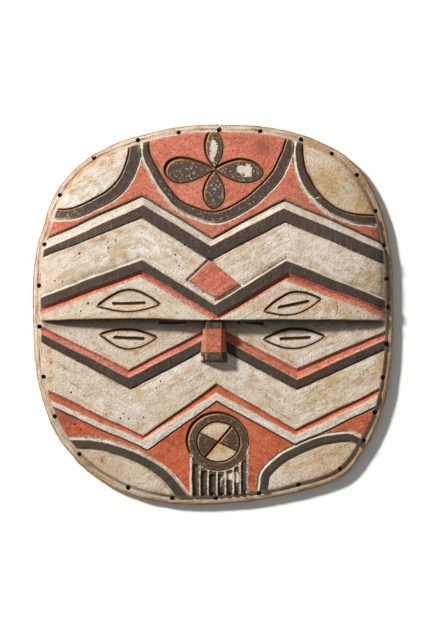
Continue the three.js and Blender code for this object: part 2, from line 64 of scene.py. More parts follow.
# %% [markdown]
# ## The outline
# A hand-cut outline is neither a circle nor a rectangle. Points traced from it would say nothing
# about its shape, so it is written as four quarters of a superellipse, one for each corner, plus
# a few soft swells where the carver's line goes out or in. All lengths here are millimetres.

# %% Outline as a formula
OUTLINE_CENTRE = (0.0, 12.4)
REACH_RIGHT, REACH_LEFT, REACH_UP, REACH_DOWN = 167.9, 168.3, 165.2, 191.0
POWER_UP_RIGHT, POWER_UP_LEFT, POWER_DOWN_RIGHT, POWER_DOWN_LEFT = 2.65, 2.51, 2.93, 2.77
SWELLS = [  # direction and spread in degrees, then how far the line goes out
    (114.6, 15.6, -3.1),
    (44.7, 10.7, 2.9),
    (-53.4, 6.9, 4.2),
    (-67.6, 19.8, -5.5),
    (-124.2, 20.0, -2.8),
    (156.2, 5.0, -1.9),
]


def outline_radius(angle):
    right, up = np.cos(angle), np.sin(angle)
    half_width = np.where(right > 0, REACH_RIGHT, REACH_LEFT)
    half_height = np.where(up > 0, REACH_UP, REACH_DOWN)
    upper_power = np.where(right > 0, POWER_UP_RIGHT, POWER_UP_LEFT)
    lower_power = np.where(right > 0, POWER_DOWN_RIGHT, POWER_DOWN_LEFT)
    power = np.where(up > 0, upper_power, lower_power)
    total = np.abs(right / half_width) ** power + np.abs(up / half_height) ** power
    radius = total ** (-1 / power)
    for at, spread, out in SWELLS:
        away = (np.degrees(angle) - at + 180) % 360 - 180
        radius = radius + out * np.exp(-((away / spread) ** 2))
    return radius


def outline_points(share, count):
    angle = np.linspace(0, 2 * math.pi, count, endpoint=False)
    radius = outline_radius(angle) * share
    x = OUTLINE_CENTRE[0] + radius * np.cos(angle)
    y = OUTLINE_CENTRE[1] + radius * np.sin(angle)
    return np.stack([x, y], 1)


def share_of_way(x, y):
    """0 at the outline's centre, 1 on the outline"""
    dx, dy = x - OUTLINE_CENTRE[0], y - OUTLINE_CENTRE[1]
    return np.hypot(dx, dy) / outline_radius(np.arctan2(dy, dx))


CAD_OUTLINE_STEPS = 64
around = outline_points(1.0, CAD_OUTLINE_STEPS)
FRAME_SHIFT = np.append((around.min(0) + around.max(0)) / 2, 0)  # the frame starts in the outline's middle
print("the outline's middle lies at", FRAME_SHIFT[:2].round(2), "mm in the carver's layout")

# %% [markdown]
# ## The carver's layout
# Everything on the face hangs on a few zigzag lines that run from rim to rim. Each line has five
# stations: left end, left turn, middle, right turn, right end. A list of lines with a height
# at each one is a ladder, and the relief of the bands is read off between its rungs.

# %% Zigzag lines
ZIGZAGS = {
    "groove_a": [(-147.3, 75.8), (-65.8, 111.4), (-0.7, 72.1), (66.8, 108.0), (157.9, 67.2)],
    "top_a": [(-154.2, 61.8), (-64.8, 101.9), (-2.8, 64.3), (65.6, 98.9), (159.8, 58.8)],
    "bottom_a": [(-154.6, 55.1), (-66.4, 90.4), (-2.8, 50.9), (66.8, 86.7), (159.8, 47.2)],
    "top_b": [(-157.6, 16.8), (-66.4, 50.9), (1.0, 9.5), (68.0, 50.2), (160.3, 13.2)],
    "bottom_b": [(-157.6, 7.7), (-66.4, 41.1), (3.8, -0.2), (70.4, 38.7), (160.3, 5.3)],
    "red_b": [(-158.2, 1.0), (-67.1, 34.8), (2.2, -5.8), (68.0, 31.2), (160.3, -3.2)],
    "ledge": [(-161.1, -5.3), (-78.0, -3.4), (0.0, -4.7), (80.7, -4.2), (165.4, -5.8)],
    "red_c": [(-158.6, -11.8), (-78.2, -51.0), (1.0, -9.7), (77.4, -49.8), (161.4, -14.8)],
    "top_c": [(-158.6, -18.6), (-78.2, -58.2), (1.0, -17.8), (77.4, -59.7), (161.4, -22.2)],
    "bottom_c": [(-156.7, -26.7), (-76.7, -68.4), (1.0, -27.2), (76.8, -68.7), (160.9, -30.9)],
    "red_d": [(-149.8, -71.5), (-65.8, -112.6), (3.1, -63.7), (76.2, -106.4), (155.9, -67.8)],
    "white_d": [(-149.2, -80.9), (-65.8, -117.0), (3.3, -72.2), (76.8, -112.6), (154.7, -74.7)],
    "end_d": [(-145.5, -87.1), (-61.4, -125.5), (3.3, -79.6), (76.8, -120.7), (149.6, -85.8)],
}
PANEL_REACH = 173.0
PANEL_TOP, PANEL_BOTTOM = 184.0, -186.0


def carried_to_reach(stations):
    a, b, c, d, e = [np.array(point) for point in stations]
    left = b[1] + (a[1] - b[1]) / (a[0] - b[0]) * (-PANEL_REACH - b[0])
    right = d[1] + (e[1] - d[1]) / (e[0] - d[0]) * (PANEL_REACH - d[0])
    return np.array([(-PANEL_REACH, left), b, c, d, (PANEL_REACH, right)])


LINE = {name: carried_to_reach(stations) for name, stations in ZIGZAGS.items()}
for name, height in (("top", PANEL_TOP), ("bottom", PANEL_BOTTOM)):
    LINE[name] = np.array([(x, height) for x in (-PANEL_REACH, -66, 0, 68, PANEL_REACH)])


def line_y(line, x):
    return np.interp(x, line[:, 0], line[:, 1])


def shifted(line, up):
    return line + np.array([0.0, up])


def between(upper, lower, share):
    return upper + (lower - upper) * share


print(len(LINE), "lines laid out")

# %% [markdown]
# ## The form under the relief
# The lower half is a shallow dome. The upper half stands out over it: most at the ledge, less
# towards the crown, nothing at the sides. Both meet the rim at one height. The dome is a power of
# the share of the way out, which keeps the middle flat and rounds the field down near the rim.

# %% Field heights
FIELD_EDGE = 0.953
FIELD_EDGE_HEIGHT = 17.0
LOWER_RISE, LOWER_POWER = 7.5, 0.7  # a smaller power makes a dome flatter in its middle
LEDGE_STEP, BROW_POWER = 21.0, 0.4
BROW_FALL = 0.55
RIM_SHARES = [FIELD_EDGE, 0.957, 0.963, 0.969, 0.977, 0.988, 0.996, 1.0]
RIM_HEIGHTS = [FIELD_EDGE_HEIGHT, 15.2, 13.4, 12.6, 13.0, 12.5, 10.8, 8.2]
LEDGE_RUN = 0.6  # the brow's face leans this much, so that it stays one height for each place
RELIEF_FADE = 0.004  # share of the way over which relief ends at the field's edge


def dome_at(x, y):
    return np.maximum(0, 1 - (share_of_way(x, y) / FIELD_EDGE) ** 2)


def lower_field(x, y):
    return FIELD_EDGE_HEIGHT + LOWER_RISE * dome_at(x, y) ** LOWER_POWER


def brow_step(x, y):
    ledge = line_y(LINE["ledge"], x)
    up_way = np.clip((y - ledge) / (REACH_UP + OUTLINE_CENTRE[1] - ledge), 0, 1)
    return LEDGE_STEP * dome_at(x, y) ** BROW_POWER * (1 - BROW_FALL * up_way)


def field(x, y):
    above = np.clip((y - line_y(LINE["ledge"], x)) / LEDGE_RUN + 1, 0, 1)
    inner = lower_field(x, y) + brow_step(x, y) * above
    share = share_of_way(x, y)
    return np.where(share > FIELD_EDGE, np.interp(share, RIM_SHARES, RIM_HEIGHTS), inner)


print("brow height in the middle:", float(field(np.array([30.0]), np.array([0.0]))[0]))

# %% [markdown]
# ## The ladder of bands
# Black bands stand proud. Each red or white strip beside them is the far wall of a V-cut, so it
# catches the light or falls into shade as the band turns. A worn arris is two rungs close together.

# %% Ladder of heights
BAND_RISE, STRIP_RISE = 1.8, 1.2
GROOVE_DEPTH, UNDERCUT = 3.0, 2.4
DIP_REACH = 8.0
WORN = 0.8  # width of a worn arris
WORN_DROP = 0.5
STEEP = 0.35  # the run of a nearly upright cut
V_RUN = 1.7  # the far wall of the V-cut under a band
LOW_EDGE = 0.65  # a band's lower edge stands this share of its height over the field
LIP_DROP = 0.3  # the field is worn down this much at the edge of a cut
FOOT, KNEE = 0.34, 0.74  # shares of the way down a strip where its cut is deepest, and where its wall bends


def band_rungs(top, bottom, rise, start, end):
    """A raised band: start and end are the heights beside it, or None where a slope meets it"""
    rungs = []
    if start is not None:
        rungs.append((shifted(LINE[top], V_RUN), start))
    low_rise = rise if end is None else rise * LOW_EDGE
    rungs.append((LINE[top], rise - WORN_DROP))
    rungs.append((shifted(LINE[top], -WORN), rise))
    rungs.append((shifted(LINE[bottom], WORN), low_rise))
    rungs.append((LINE[bottom], low_rise - WORN_DROP))
    if end is not None:
        depth, level = end
        rungs.append((shifted(LINE[bottom], -STEEP), -depth))
        rungs.append((shifted(LINE[bottom], -STEEP - V_RUN), level))
    return rungs


LADDER = [
    (LINE["top"], 0.0),
    (shifted(LINE["groove_a"], WORN), 0.0),
    (LINE["groove_a"], -LIP_DROP),
    (between(LINE["groove_a"], LINE["top_a"], 0.22), -GROOVE_DEPTH),
    *band_rungs("top_a", "bottom_a", BAND_RISE, None, (1.2, 0.0)),
    (shifted(LINE["top_b"], DIP_REACH), 0.0),
    (shifted(LINE["top_b"], DIP_REACH / 2), -0.8),
    *band_rungs("top_b", "bottom_b", BAND_RISE, -UNDERCUT, None),
    (between(LINE["bottom_b"], LINE["red_b"], 0.4), -GROOVE_DEPTH),
    (LINE["red_b"], -0.2),
    (shifted(LINE["red_b"], -WORN), 0.0),
    (shifted(LINE["ledge"], 2.2), 0.0),
    (shifted(LINE["ledge"], 0.7), -0.25),
    (LINE["ledge"], -1.0),
    (shifted(LINE["ledge"], -LEDGE_RUN), 0.0),
    (shifted(LINE["red_c"], WORN), 0.0),
    (LINE["red_c"], -LIP_DROP),
    (between(LINE["red_c"], LINE["top_c"], FOOT), -GROOVE_DEPTH),
    (between(LINE["red_c"], LINE["top_c"], KNEE), -1.6),
    *band_rungs("top_c", "bottom_c", BAND_RISE, None, (1.5, -0.4)),
    (shifted(LINE["bottom_c"], -DIP_REACH), 0.0),
    (shifted(LINE["red_d"], WORN), 0.0),
    (LINE["red_d"], -LIP_DROP),
    (between(LINE["red_d"], LINE["white_d"], FOOT), -GROOVE_DEPTH),
    (between(LINE["red_d"], LINE["white_d"], KNEE), -1.7),
    *band_rungs("white_d", "end_d", STRIP_RISE, None, (1.9, 0.0)),
    (LINE["bottom"], 0.0),
]


def ladder_relief(x, y):
    relief = np.zeros_like(x)
    above_y, above_rise = line_y(LADDER[0][0], x), LADDER[0][1]
    for line, rise in LADDER[1:]:
        here = line_y(line, x)
        inside = (y <= above_y) & (y > here)
        share = (above_y - y) / np.maximum(above_y - here, 1e-6)
        relief = np.where(inside, above_rise + (rise - above_rise) * share, relief)
        above_y, above_rise = here, rise
    return relief


print(len(LADDER), "rungs")

# %% [markdown]
# ## Curves and distances
# The arcs, petals, eyes and the disc are cut along curves. A curve through a few points is
# enough for an arc. The distance from a place to such a path, with a sign for its side, serves
# twice: for the depth of the cut and, later, for the edge of the paint.

# %% Paths
CURVE_STEPS = 24  # places worked out between two given points


def smooth_path(points, spacing):
    """A curve through the points, with places about one spacing apart"""
    points = np.array(points, float)
    padded = np.vstack([points[0], points, points[-1]])
    t = np.linspace(0, 1, CURVE_STEPS, endpoint=False)[:, None]
    pieces = []
    for a, b, c, d in zip(padded, padded[1:], padded[2:], padded[3:]):
        bend, twist = 2 * a - 5 * b + 4 * c - d, 3 * b - a - 3 * c + d
        pieces.append(0.5 * (2 * b + (c - a) * t + bend * t**2 + twist * t**3))
    dense = np.vstack([*pieces, points[-1:]])
    return respaced(dense, spacing, False)


def anticlockwise(path):
    """A closed path turned so that its inside lies on its left"""
    turning = path[:, 0] * np.roll(path[:, 1], -1) - np.roll(path[:, 0], -1) * path[:, 1]
    return path if turning.sum() > 0 else path[::-1]


def respaced(path, spacing, closed):
    """Places evenly spaced along a path; a closed one is turned anticlockwise too"""
    if closed:
        path = anticlockwise(path)
        path = np.vstack([path, path[:1]])
    length = np.concatenate([[0], np.cumsum(np.hypot(*np.diff(path, axis=0).T))])
    count = max(2, int(round(length[-1] / spacing)) + 1)
    places = np.linspace(0, length[-1], count)
    even = np.stack([np.interp(places, length, path[:, 0]), np.interp(places, length, path[:, 1])], 1)
    return even[:-1] if closed else even


def path_normals(path, closed):
    if closed:
        along = np.roll(path, -1, 0) - np.roll(path, 1, 0)
    else:
        along = np.gradient(path, axis=0)
    along = along / np.maximum(np.hypot(along[:, :1], along[:, 1:]), 1e-9)
    return np.stack([-along[:, 1], along[:, 0]], 1)


def offset_path(path, distance, closed=False):
    """The path moved to its left by one distance, or by one for each place"""
    return path + path_normals(path, closed) * np.reshape(distance, (-1, 1))


def signed_distance(x, y, path, closed=False):
    """Distance to a path: positive on the left of an open one, positive inside a closed one"""
    starts, ends = (path, np.roll(path, -1, 0)) if closed else (path[:-1], path[1:])
    best = np.full(x.shape, 1e9)
    side = np.zeros(x.shape)
    inside = np.zeros(x.shape, bool)
    for (x0, y0), (x1, y1) in zip(starts, ends):
        dx, dy = x1 - x0, y1 - y0
        t = np.clip(((x - x0) * dx + (y - y0) * dy) / (dx * dx + dy * dy), 0, 1)
        distance = np.hypot(x - x0 - t * dx, y - y0 - t * dy)
        closer = distance < best
        best = np.where(closer, distance, best)
        if closed:
            crosses = (y0 > y) != (y1 > y)
            inside ^= crosses & (x < x0 + (y - y0) * dx / (dy if dy else 1e-9))
        else:
            side = np.where(closer, dx * (y - y0) - dy * (x - x0), side)
    return np.where(inside if closed else side > 0, best, -best)


FAR = 12.0  # distances from a closed path are kept within this many millimetres


def inside_by(x, y, path):
    """How far places lie inside a closed path, worked out only near it"""
    low, high = path.min(0) - FAR, path.max(0) + FAR
    near = (x > low[0]) & (x < high[0]) & (y > low[1]) & (y < high[1])
    result = np.full(x.shape, -FAR)
    result[near] = signed_distance(x[near], y[near], path, True)
    return result


print("path helpers ready")

# %% [markdown]
# ## Arcs
# One arc hangs from the crown as a medallion, and four lunettes cut off the corners. Each is a
# raised black band with a white bevel on its outer side and a narrow cut on its inner side.

# %% Arc layout
STEP = 1.7  # spacing of the places along a cut


def arc_between(points, widths, inside):
    """The two edges of a raised arc; its widths are read at even steps along it"""
    outer = smooth_path(points, STEP)
    along, known = np.linspace(0, 1, len(outer)), np.linspace(0, 1, len(widths))
    inner = offset_path(outer, np.interp(along, known, widths) * inside)
    return {"outer": outer, "inner": inner, "inside": inside}


ARCS = {
    "medallion": arc_between(
        [(-66, 172), (-66, 150), (-57.5, 130), (-45.5, 111.5), (-29.5, 96.5), (1.5, 87), (32, 99),
         (57, 121.5), (68, 140.5), (77.5, 172)],
        [5, 6, 6, 7, 7.5, 7, 5], 1),
    "upper_left": arc_between(
        [(-69.5, 172), (-69.5, 149), (-76.5, 127.5), (-90, 110), (-110, 98.5), (-131.5, 91), (-165, 89.5)],
        [8, 8, 7.5, 6.5, 6.5], -1),
    "upper_right": arc_between(
        [(77, 172), (76, 150), (79.5, 129), (91, 110.5), (107, 95.5), (127, 87), (148, 84.5), (170, 84.5)],
        [5.5, 6, 7, 5.2, 5.2, 6.2, 6], 1),
    "lower_left": arc_between(
        [(-143, -116), (-110, -116.5), (-88, -122.5), (-57.5, -135.5), (-39.5, -149), (-25, -166.5),
         (-19, -176)],
        [7, 7.5, 7.5, 8, 9.5], -1),
    "lower_right": arc_between(
        [(41.5, -178), (43.5, -157), (46.5, -145.5), (61.5, -131), (80.5, -121), (100.5, -113),
         (121.5, -110.5), (134, -113.5), (150, -124.5)],
        [6, 6.5, 6.5, 6.5, 5.5], -1),
}
OUTER_CUT = [(-3.4, 0.0), (-1.7, -2.0), (0.0, 1.3), (0.6, 1.8)]  # distance inwards, height
INNER_CUT = [(-0.6, 1.8), (0.0, 1.2), (1.1, -1.9), (2.6, 0.0)]


def arc_sides(arc, x, y):
    """How far a place lies inside the arc's outer and inner edge"""
    outer = signed_distance(x, y, arc["outer"]) * arc["inside"]
    inner = signed_distance(x, y, arc["inner"]) * arc["inside"]
    return outer, inner


def profile(distance, cut):
    return np.interp(distance, [place for place, _ in cut], [height for _, height in cut])


def arc_relief(outer, inner):
    from_outside = profile(outer, OUTER_CUT)
    from_inside = profile(inner, INNER_CUT)
    return np.where(inner > INNER_CUT[0][0], from_inside, from_outside)


print("arcs:", {name: len(arc["outer"]) for name, arc in ARCS.items()})

# %% [markdown]
# ## Flower, eyes, diamond, disc and nose
# The petals and eyes are only outlined: the wood inside stays at the level of the field. The
# carver leaned the knife, so a V-cut is widest on the upper left of what it rounds. Such a cut is
# laid out by its two arrises, and its depth is a slope times the distance to the nearer one.

# %% Motif layout
FLOWER_CENTRE = np.array([1.7, 134.8])
FLOWER_HEART = 2.0
PETALS = [  # direction in degrees, length, width, share of the widest place, tip (less than 1 is blunter)
    (91.5, 38.0, 15.3, 0.52, 0.95),
    (182.4, 44.8, 21.3, 0.667, 0.5),
    (268.8, 36.1, 18.2, 0.62, 0.6),
    (-5.2, 44.4, 19.5, 0.6, 0.65),
]
EYES = [  # left corner, right corner, rise of the upper line, fall of the lower line
    ((-106.5, 7.3), (-48.8, 8.9), 14.0, 5.3),
    ((48.3, 2.9), (99.9, 14.1), 11.0, 8.0),
    ((-104.3, -19.3), (-52.1, -21.5), 6.0, 11.5),
    ((48.3, -23.2), (104.0, -20.6), 8.5, 9.5),
]
DIAMOND = np.array([(-3.1, 50.2), (-21.6, 31.6), (3.2, 15.6), (24.0, 28.1)])
DISC_CENTRE = np.array([4.9, -118.3])
DISC_STRETCH = np.array([1.0325, 0.9675])  # the disc is a little wider than high
DISC_RADIUS, DISC_INNER = 26.75, 19.55
CROSS_ANGLES = (50.0, -26.0)
PETAL_PLACES, PETAL_STEP = 96, 1.4
EYE_PLACES = 40
SLIT_SPAN, SLIT_PLACES = (0.25, 0.77), 17  # the gouge cut in an eye, as shares of the way between its corners
SLIT_HALF, SLIT_DEPTH = 1.9, 2.1


def petal_path(toward, length, width, widest, tip):
    turn = math.radians(toward)
    angle = np.linspace(0, 2 * math.pi, PETAL_PLACES, endpoint=False)
    along = (1 - np.cos(angle)) / 2
    root = tip * widest / (1 - widest)
    bulge = (along / widest) ** root * ((1 - along) / (1 - widest)) ** tip
    out = FLOWER_HEART + along * (length - FLOWER_HEART)
    across = np.sign(np.sin(angle)) * bulge * (width / 2)
    x = FLOWER_CENTRE[0] + out * math.cos(turn) - across * math.sin(turn)
    y = FLOWER_CENTRE[1] + out * math.sin(turn) + across * math.cos(turn)
    return respaced(np.stack([x, y], 1), PETAL_STEP, True)


PETAL_PATHS = [petal_path(*petal) for petal in PETALS]
print(len(PETAL_PATHS), "petals, with", [len(path) for path in PETAL_PATHS], "places")

# %% Eyes and disc
def eye_path(left, right, above, below):
    t = np.linspace(0, 1, EYE_PLACES)[:, None]
    chord = np.array(left) + (np.array(right) - np.array(left)) * t
    upper = chord + np.array([0, above]) * np.sin(math.pi * t)
    lower = chord - np.array([0, below]) * np.sin(math.pi * t)
    return respaced(np.vstack([upper[:-1], lower[:0:-1]]), STEP, True)


def eye_slit_path(left, right, above, below):
    """The gouge cut in an eye; it keeps to the side where the lid is rounder"""
    t = np.linspace(*SLIT_SPAN, SLIT_PLACES)[:, None]
    chord = np.array(left) + (np.array(right) - np.array(left)) * t
    return chord + np.array([0, (above - below) / 4])


def disc_ring(reach):
    turn = np.linspace(0, 2 * math.pi, int(2 * math.pi * reach / STEP), endpoint=False)[:, None]
    return DISC_CENTRE + reach * DISC_STRETCH * np.hstack([np.cos(turn), np.sin(turn)])


EYE_PATHS = [eye_path(*eye) for eye in EYES]
EYE_SLITS = [eye_slit_path(*eye) for eye in EYES]
print(len(EYE_PATHS), "eyes, with", [len(path) for path in EYE_PATHS], "places")

# %% Leaned cuts
KNIFE_LEAN = np.array([-0.7, 0.714])
CUT_SLOPE = 1.4
NARROWEST = 0.8  # a leaned cut counts as at least this wide
FOLD_SHARE = 0.85  # a moved place that is nearer to its path than this share of the move lies in a fold


def leaned_cut(path, inset, narrow, wider):
    """The inner arris, the bottom and the outer arris of a V-cut; wider is added on the upper left"""
    lean = np.clip(-path_normals(path, True) @ KNIFE_LEAN, 0, 1)
    reach = narrow + wider * lean
    places = (np.full(len(path), inset), (inset - reach) / 2, -reach)
    arrises = []
    for place in places:
        moved = offset_path(path, place, True)
        distance = np.abs(signed_distance(moved[:, 0], moved[:, 1], path, True))
        arrises.append(moved[distance > np.abs(place) * FOLD_SHARE])
    return arrises


PETAL_CUTS = [
    leaned_cut(path, inset=0.3, narrow=1.5, wider=wider)
    for path, wider in zip(PETAL_PATHS, (1.9, 2.7, 1.1, 2.3))
]
EYE_CUTS = [leaned_cut(path, inset=0.8, narrow=1.2, wider=1.2) for path in EYE_PATHS]
DISC_CUT = leaned_cut(disc_ring(DISC_RADIUS), inset=0.2, narrow=1.4, wider=2.5)
LEANED_CUTS = [*PETAL_CUTS, *EYE_CUTS, DISC_CUT]
DIAMOND_CUT = [(-3.8, 0.0), (-1.3, -2.1), (0.0, 1.2), (0.6, 1.8)]  # distance inwards, height
RING_HALF, CROSS_HALF, SMALL_CROSS_HALF = 1.1, 1.5, 0.8  # half widths of the disc's other cuts
print(len(LEANED_CUTS), "leaned cuts")

# %% Fringe under the disc
RIDGES = [-20.1, -12.3, -4.5, 3.7, 11.5, 18.7, 24.9, 31.7]  # the fringe's ribs, unevenly spaced by hand
FRINGE_BOTTOM = -168.5
FRINGE_RISE, FRINGE_RUN = 1.2, 0.8  # how high it stands, and the width of the slope round it
FRINGE_MARGIN = 0.3  # how far it goes on beyond its outermost ribs
FRINGE_GAP, RIDGE_GAP = 1.6, 2.0  # how far under the disc the fringe and its ribs start
RIDGE_HALF = 0.85


def under_disc(x, gap):
    """The height on the face of a place just below the disc"""
    across = np.clip((x - DISC_CENTRE[0]) / (DISC_RADIUS * DISC_STRETCH[0]), -1, 1)
    return DISC_CENTRE[1] - gap - DISC_RADIUS * DISC_STRETCH[1] * np.sqrt(1 - across**2)


def fringe_inside(x, y):
    """How far a place lies inside the ribbed fringe"""
    sides = np.minimum(x - RIDGES[0], RIDGES[-1] - x) + RIDGE_HALF + FRINGE_MARGIN
    return np.minimum(sides, under_disc(x, FRINGE_GAP) - y)


print(len(RIDGES), "ribs")

# %% Depth of the motif cuts
def leaned_depth(x, y, cut):
    """How far a place lies from the nearer arris of a leaned cut, and its share of the way down"""
    inner, outer = -inside_by(x, y, cut[0]), inside_by(x, y, cut[2])
    nearer = np.minimum(inner, outer)
    return nearer, 2 * nearer / np.maximum(inner + outer, NARROWEST)


def slit_share(x, y, path):
    """1 in the middle of a short gouge cut that tapers to both ends, 0 off it"""
    along = (path[-1] - path[0]) / np.hypot(*(path[-1] - path[0]))
    length = np.hypot(*(path[-1] - path[0]))
    t = ((x - path[0][0]) * along[0] + (y - path[0][1]) * along[1]) / length
    across = np.abs(-(x - path[0][0]) * along[1] + (y - path[0][1]) * along[0])
    half = SLIT_HALF * np.sqrt(np.clip(1 - (2 * t - 1) ** 2, 0, 1)) + 1e-6
    return np.where((t > 0) & (t < 1), np.clip(1 - across / half, 0, 1), 0)


def disc_distances(x, y):
    """The distance from the disc's centre, evened out for its stretch, and from its cross lines"""
    dx, dy = x - DISC_CENTRE[0], y - DISC_CENTRE[1]
    radius = np.hypot(dx / DISC_STRETCH[0], dy / DISC_STRETCH[1])
    cross = [dx * math.sin(math.radians(a)) - dy * math.cos(math.radians(a)) for a in CROSS_ANGLES]
    return radius, cross


def disc_cuts(x, y):
    """The disc's own cuts: how far inside each a place lies, and each one's half width"""
    radius, cross = disc_distances(x, y)
    return [
        (RING_HALF - np.abs(DISC_INNER - radius), RING_HALF),
        (np.minimum(CROSS_HALF - np.abs(cross[0]), DISC_INNER - radius), CROSS_HALF),
        (np.minimum(SMALL_CROSS_HALF - np.abs(cross[1]), DISC_INNER - radius), SMALL_CROSS_HALF),
    ]


print("deepest slit:", SLIT_DEPTH, "mm")

# %% Nose block
NOSE_MIDDLE = 1.0
NOSE_TOP, NOSE_BOTTOM = -4.6, -44.4
NOSE_FRONT_HALF = 7.0
NOSE_BASE_HALF = (9.6, 12.2)  # under the brow, and at the chin end
NOSE_HEIGHT = (42.0, 40.0)
NOSE_CHAMFER = 9.0  # how far the slanted sides fall
NOSE_CHIN, CHIN_DROP = 2.6, 8.0  # how long the slant at the lower end is, and how far it falls
NOSE_WALL = 30.0  # more than the nose stands out, so that its walls reach the field


def nose_height(x, y):
    """Top of the nose block, or nothing beside it"""
    t = np.clip((NOSE_TOP - y) / (NOSE_TOP - NOSE_BOTTOM), 0, 1)
    front = NOSE_HEIGHT[0] + (NOSE_HEIGHT[1] - NOSE_HEIGHT[0]) * t
    base_half = NOSE_BASE_HALF[0] + (NOSE_BASE_HALF[1] - NOSE_BASE_HALF[0]) * t
    away = np.abs(x - NOSE_MIDDLE)
    sides = np.clip((away - NOSE_FRONT_HALF) / (base_half - NOSE_FRONT_HALF), 0, 1)
    chin = np.clip((NOSE_BOTTOM + NOSE_CHIN - y) / NOSE_CHIN, 0, 1)
    top = front - NOSE_CHAMFER * sides - CHIN_DROP * chin
    wall = np.clip((away - base_half) / STEEP, 0, 1) + np.clip((NOSE_BOTTOM - y) / STEEP, 0, 1)
    top = top - NOSE_WALL * wall
    return np.where((y < NOSE_TOP + LEDGE_RUN) & (wall < 1), top, 0)


def relief(x, y):
    """All carving on the field, in millimetres up or down"""
    total = ladder_relief(x, y)
    for arc in ARCS.values():
        total = total + arc_relief(*arc_sides(arc, x, y))
    total = total + profile(inside_by(x, y, DIAMOND), DIAMOND_CUT)
    total = total + FRINGE_RISE * np.clip(fringe_inside(x, y) / FRINGE_RUN, 0, 1)
    total = total - SLIT_DEPTH * np.max([slit_share(x, y, path) for path in EYE_SLITS], 0)
    depths = [leaned_depth(x, y, cut)[0] for cut in LEANED_CUTS]
    depths += [depth for depth, _ in disc_cuts(x, y)]
    total = total - CUT_SLOPE * np.clip(np.max(depths, 0), 0, None)
    fade = np.clip((FIELD_EDGE + RELIEF_FADE - share_of_way(x, y)) / RELIEF_FADE, 0, 1)
    return total * fade


def front_height(x, y):
    return np.maximum(field(x, y) + relief(x, y), nose_height(x, y))


print("nose height:", NOSE_HEIGHT)

# %% [markdown]
# ## Even grain, sharp cuts
# A carved surface needs vertices on every arris and in the bottom of every cut, and an even grain
# in between. The cuts are given to a constrained triangulation as paths, with a hexagonal sowing of
# points for the rest. The points only say where; `front_height` says how high.

# %% Paths along every cut
GRAIN = 1.8  # spacing of the vertices on the open field
RING_PLACES = 540
SHEET_EDGE = RIM_SHARES[-2]  # the front sheet ends here, and rings close the side
DIAMOND_REACH = 16.0  # from its middle to a side


def ladder_path(line):
    stations = np.unique(np.concatenate([np.arange(-PANEL_REACH, PANEL_REACH, STEP), line[:, 0]]))
    return np.stack([stations, line_y(line, stations)], 1)


def straight(a, b):
    return respaced(np.array([a, b], float), STEP, False)


paths = [(outline_points(share, RING_PLACES), True) for share in RIM_SHARES[:-2]]
paths += [(ladder_path(line), False) for line, _ in LADDER[1:-1]]
for arc in ARCS.values():
    paths += [(offset_path(arc["outer"], place * arc["inside"]), False) for place, _ in OUTER_CUT]
    paths += [(offset_path(arc["inner"], place * arc["inside"]), False) for place, _ in INNER_CUT]
paths += [(arris, True) for cut in LEANED_CUTS for arris in cut]
for slit in EYE_SLITS:
    paths += [(offset_path(slit, place), False) for place in (-SLIT_HALF, 0, SLIT_HALF)]
diamond_middle = DIAMOND.mean(0)
for place, _ in DIAMOND_CUT:
    corners = diamond_middle + (DIAMOND - diamond_middle) * (1 - place / DIAMOND_REACH)
    for a, b in zip(corners, np.roll(corners, -1, 0)):
        paths.append((straight(a, b), False))
paths += [(disc_ring(DISC_INNER + place), True) for place in (-RING_HALF, 0, RING_HALF)]
for angle, half in zip(np.radians(CROSS_ANGLES), (CROSS_HALF, SMALL_CROSS_HALF)):
    along = np.array([math.cos(angle), math.sin(angle)])
    across = np.array([-math.sin(angle), math.cos(angle)])
    for place in (-half, 0, half):
        middle = DISC_CENTRE + across * place
        paths.append((straight(middle - along * DISC_INNER, middle + along * DISC_INNER), False))
for ridge in RIDGES:
    ridge_top = float(under_disc(ridge, RIDGE_GAP))
    paths.append((straight((ridge, ridge_top), (ridge, FRINGE_BOTTOM)), False))
NOSE_FOOT = (NOSE_BASE_HALF[0] + STEEP, NOSE_BASE_HALF[1] + STEEP)
for side in (-1, 1):
    for top_half, bottom_half in ((NOSE_FRONT_HALF, NOSE_FRONT_HALF), NOSE_BASE_HALF, NOSE_FOOT):
        top = (NOSE_MIDDLE + side * top_half, NOSE_TOP)
        bottom = (NOSE_MIDDLE + side * bottom_half, NOSE_BOTTOM)
        paths.append((straight(top, bottom), False))
foot_left = NOSE_MIDDLE - NOSE_BASE_HALF[1] - STEEP
foot_right = NOSE_MIDDLE + NOSE_BASE_HALF[1] + STEEP
for y in (NOSE_BOTTOM + NOSE_CHIN, NOSE_BOTTOM, NOSE_BOTTOM - STEEP):
    paths.append((straight((foot_left, y), (foot_right, y)), False))
print(len(paths), "paths,", sum(len(path) for path, _ in paths), "places")

# %% [markdown]
# ## Sowing and triangulating
# The sowing leaves out places that are too near a path, so no triangle gets pinched. The
# triangulation keeps the paths as edges and adds a vertex wherever two of them cross.

# %% Triangulated sheets
SOWN_ACROSS, SOWN_UP = 180, 200  # the sowing covers this much each way
FRONT_SOWN, FRONT_CLEAR = 0.990, GRAIN * 0.55  # share of the way that is sown, and how clear of the cuts
INSIDE_ONLY, MERGE_WITHIN = 1, 1e-4  # how the triangulation treats the outside, and places that meet


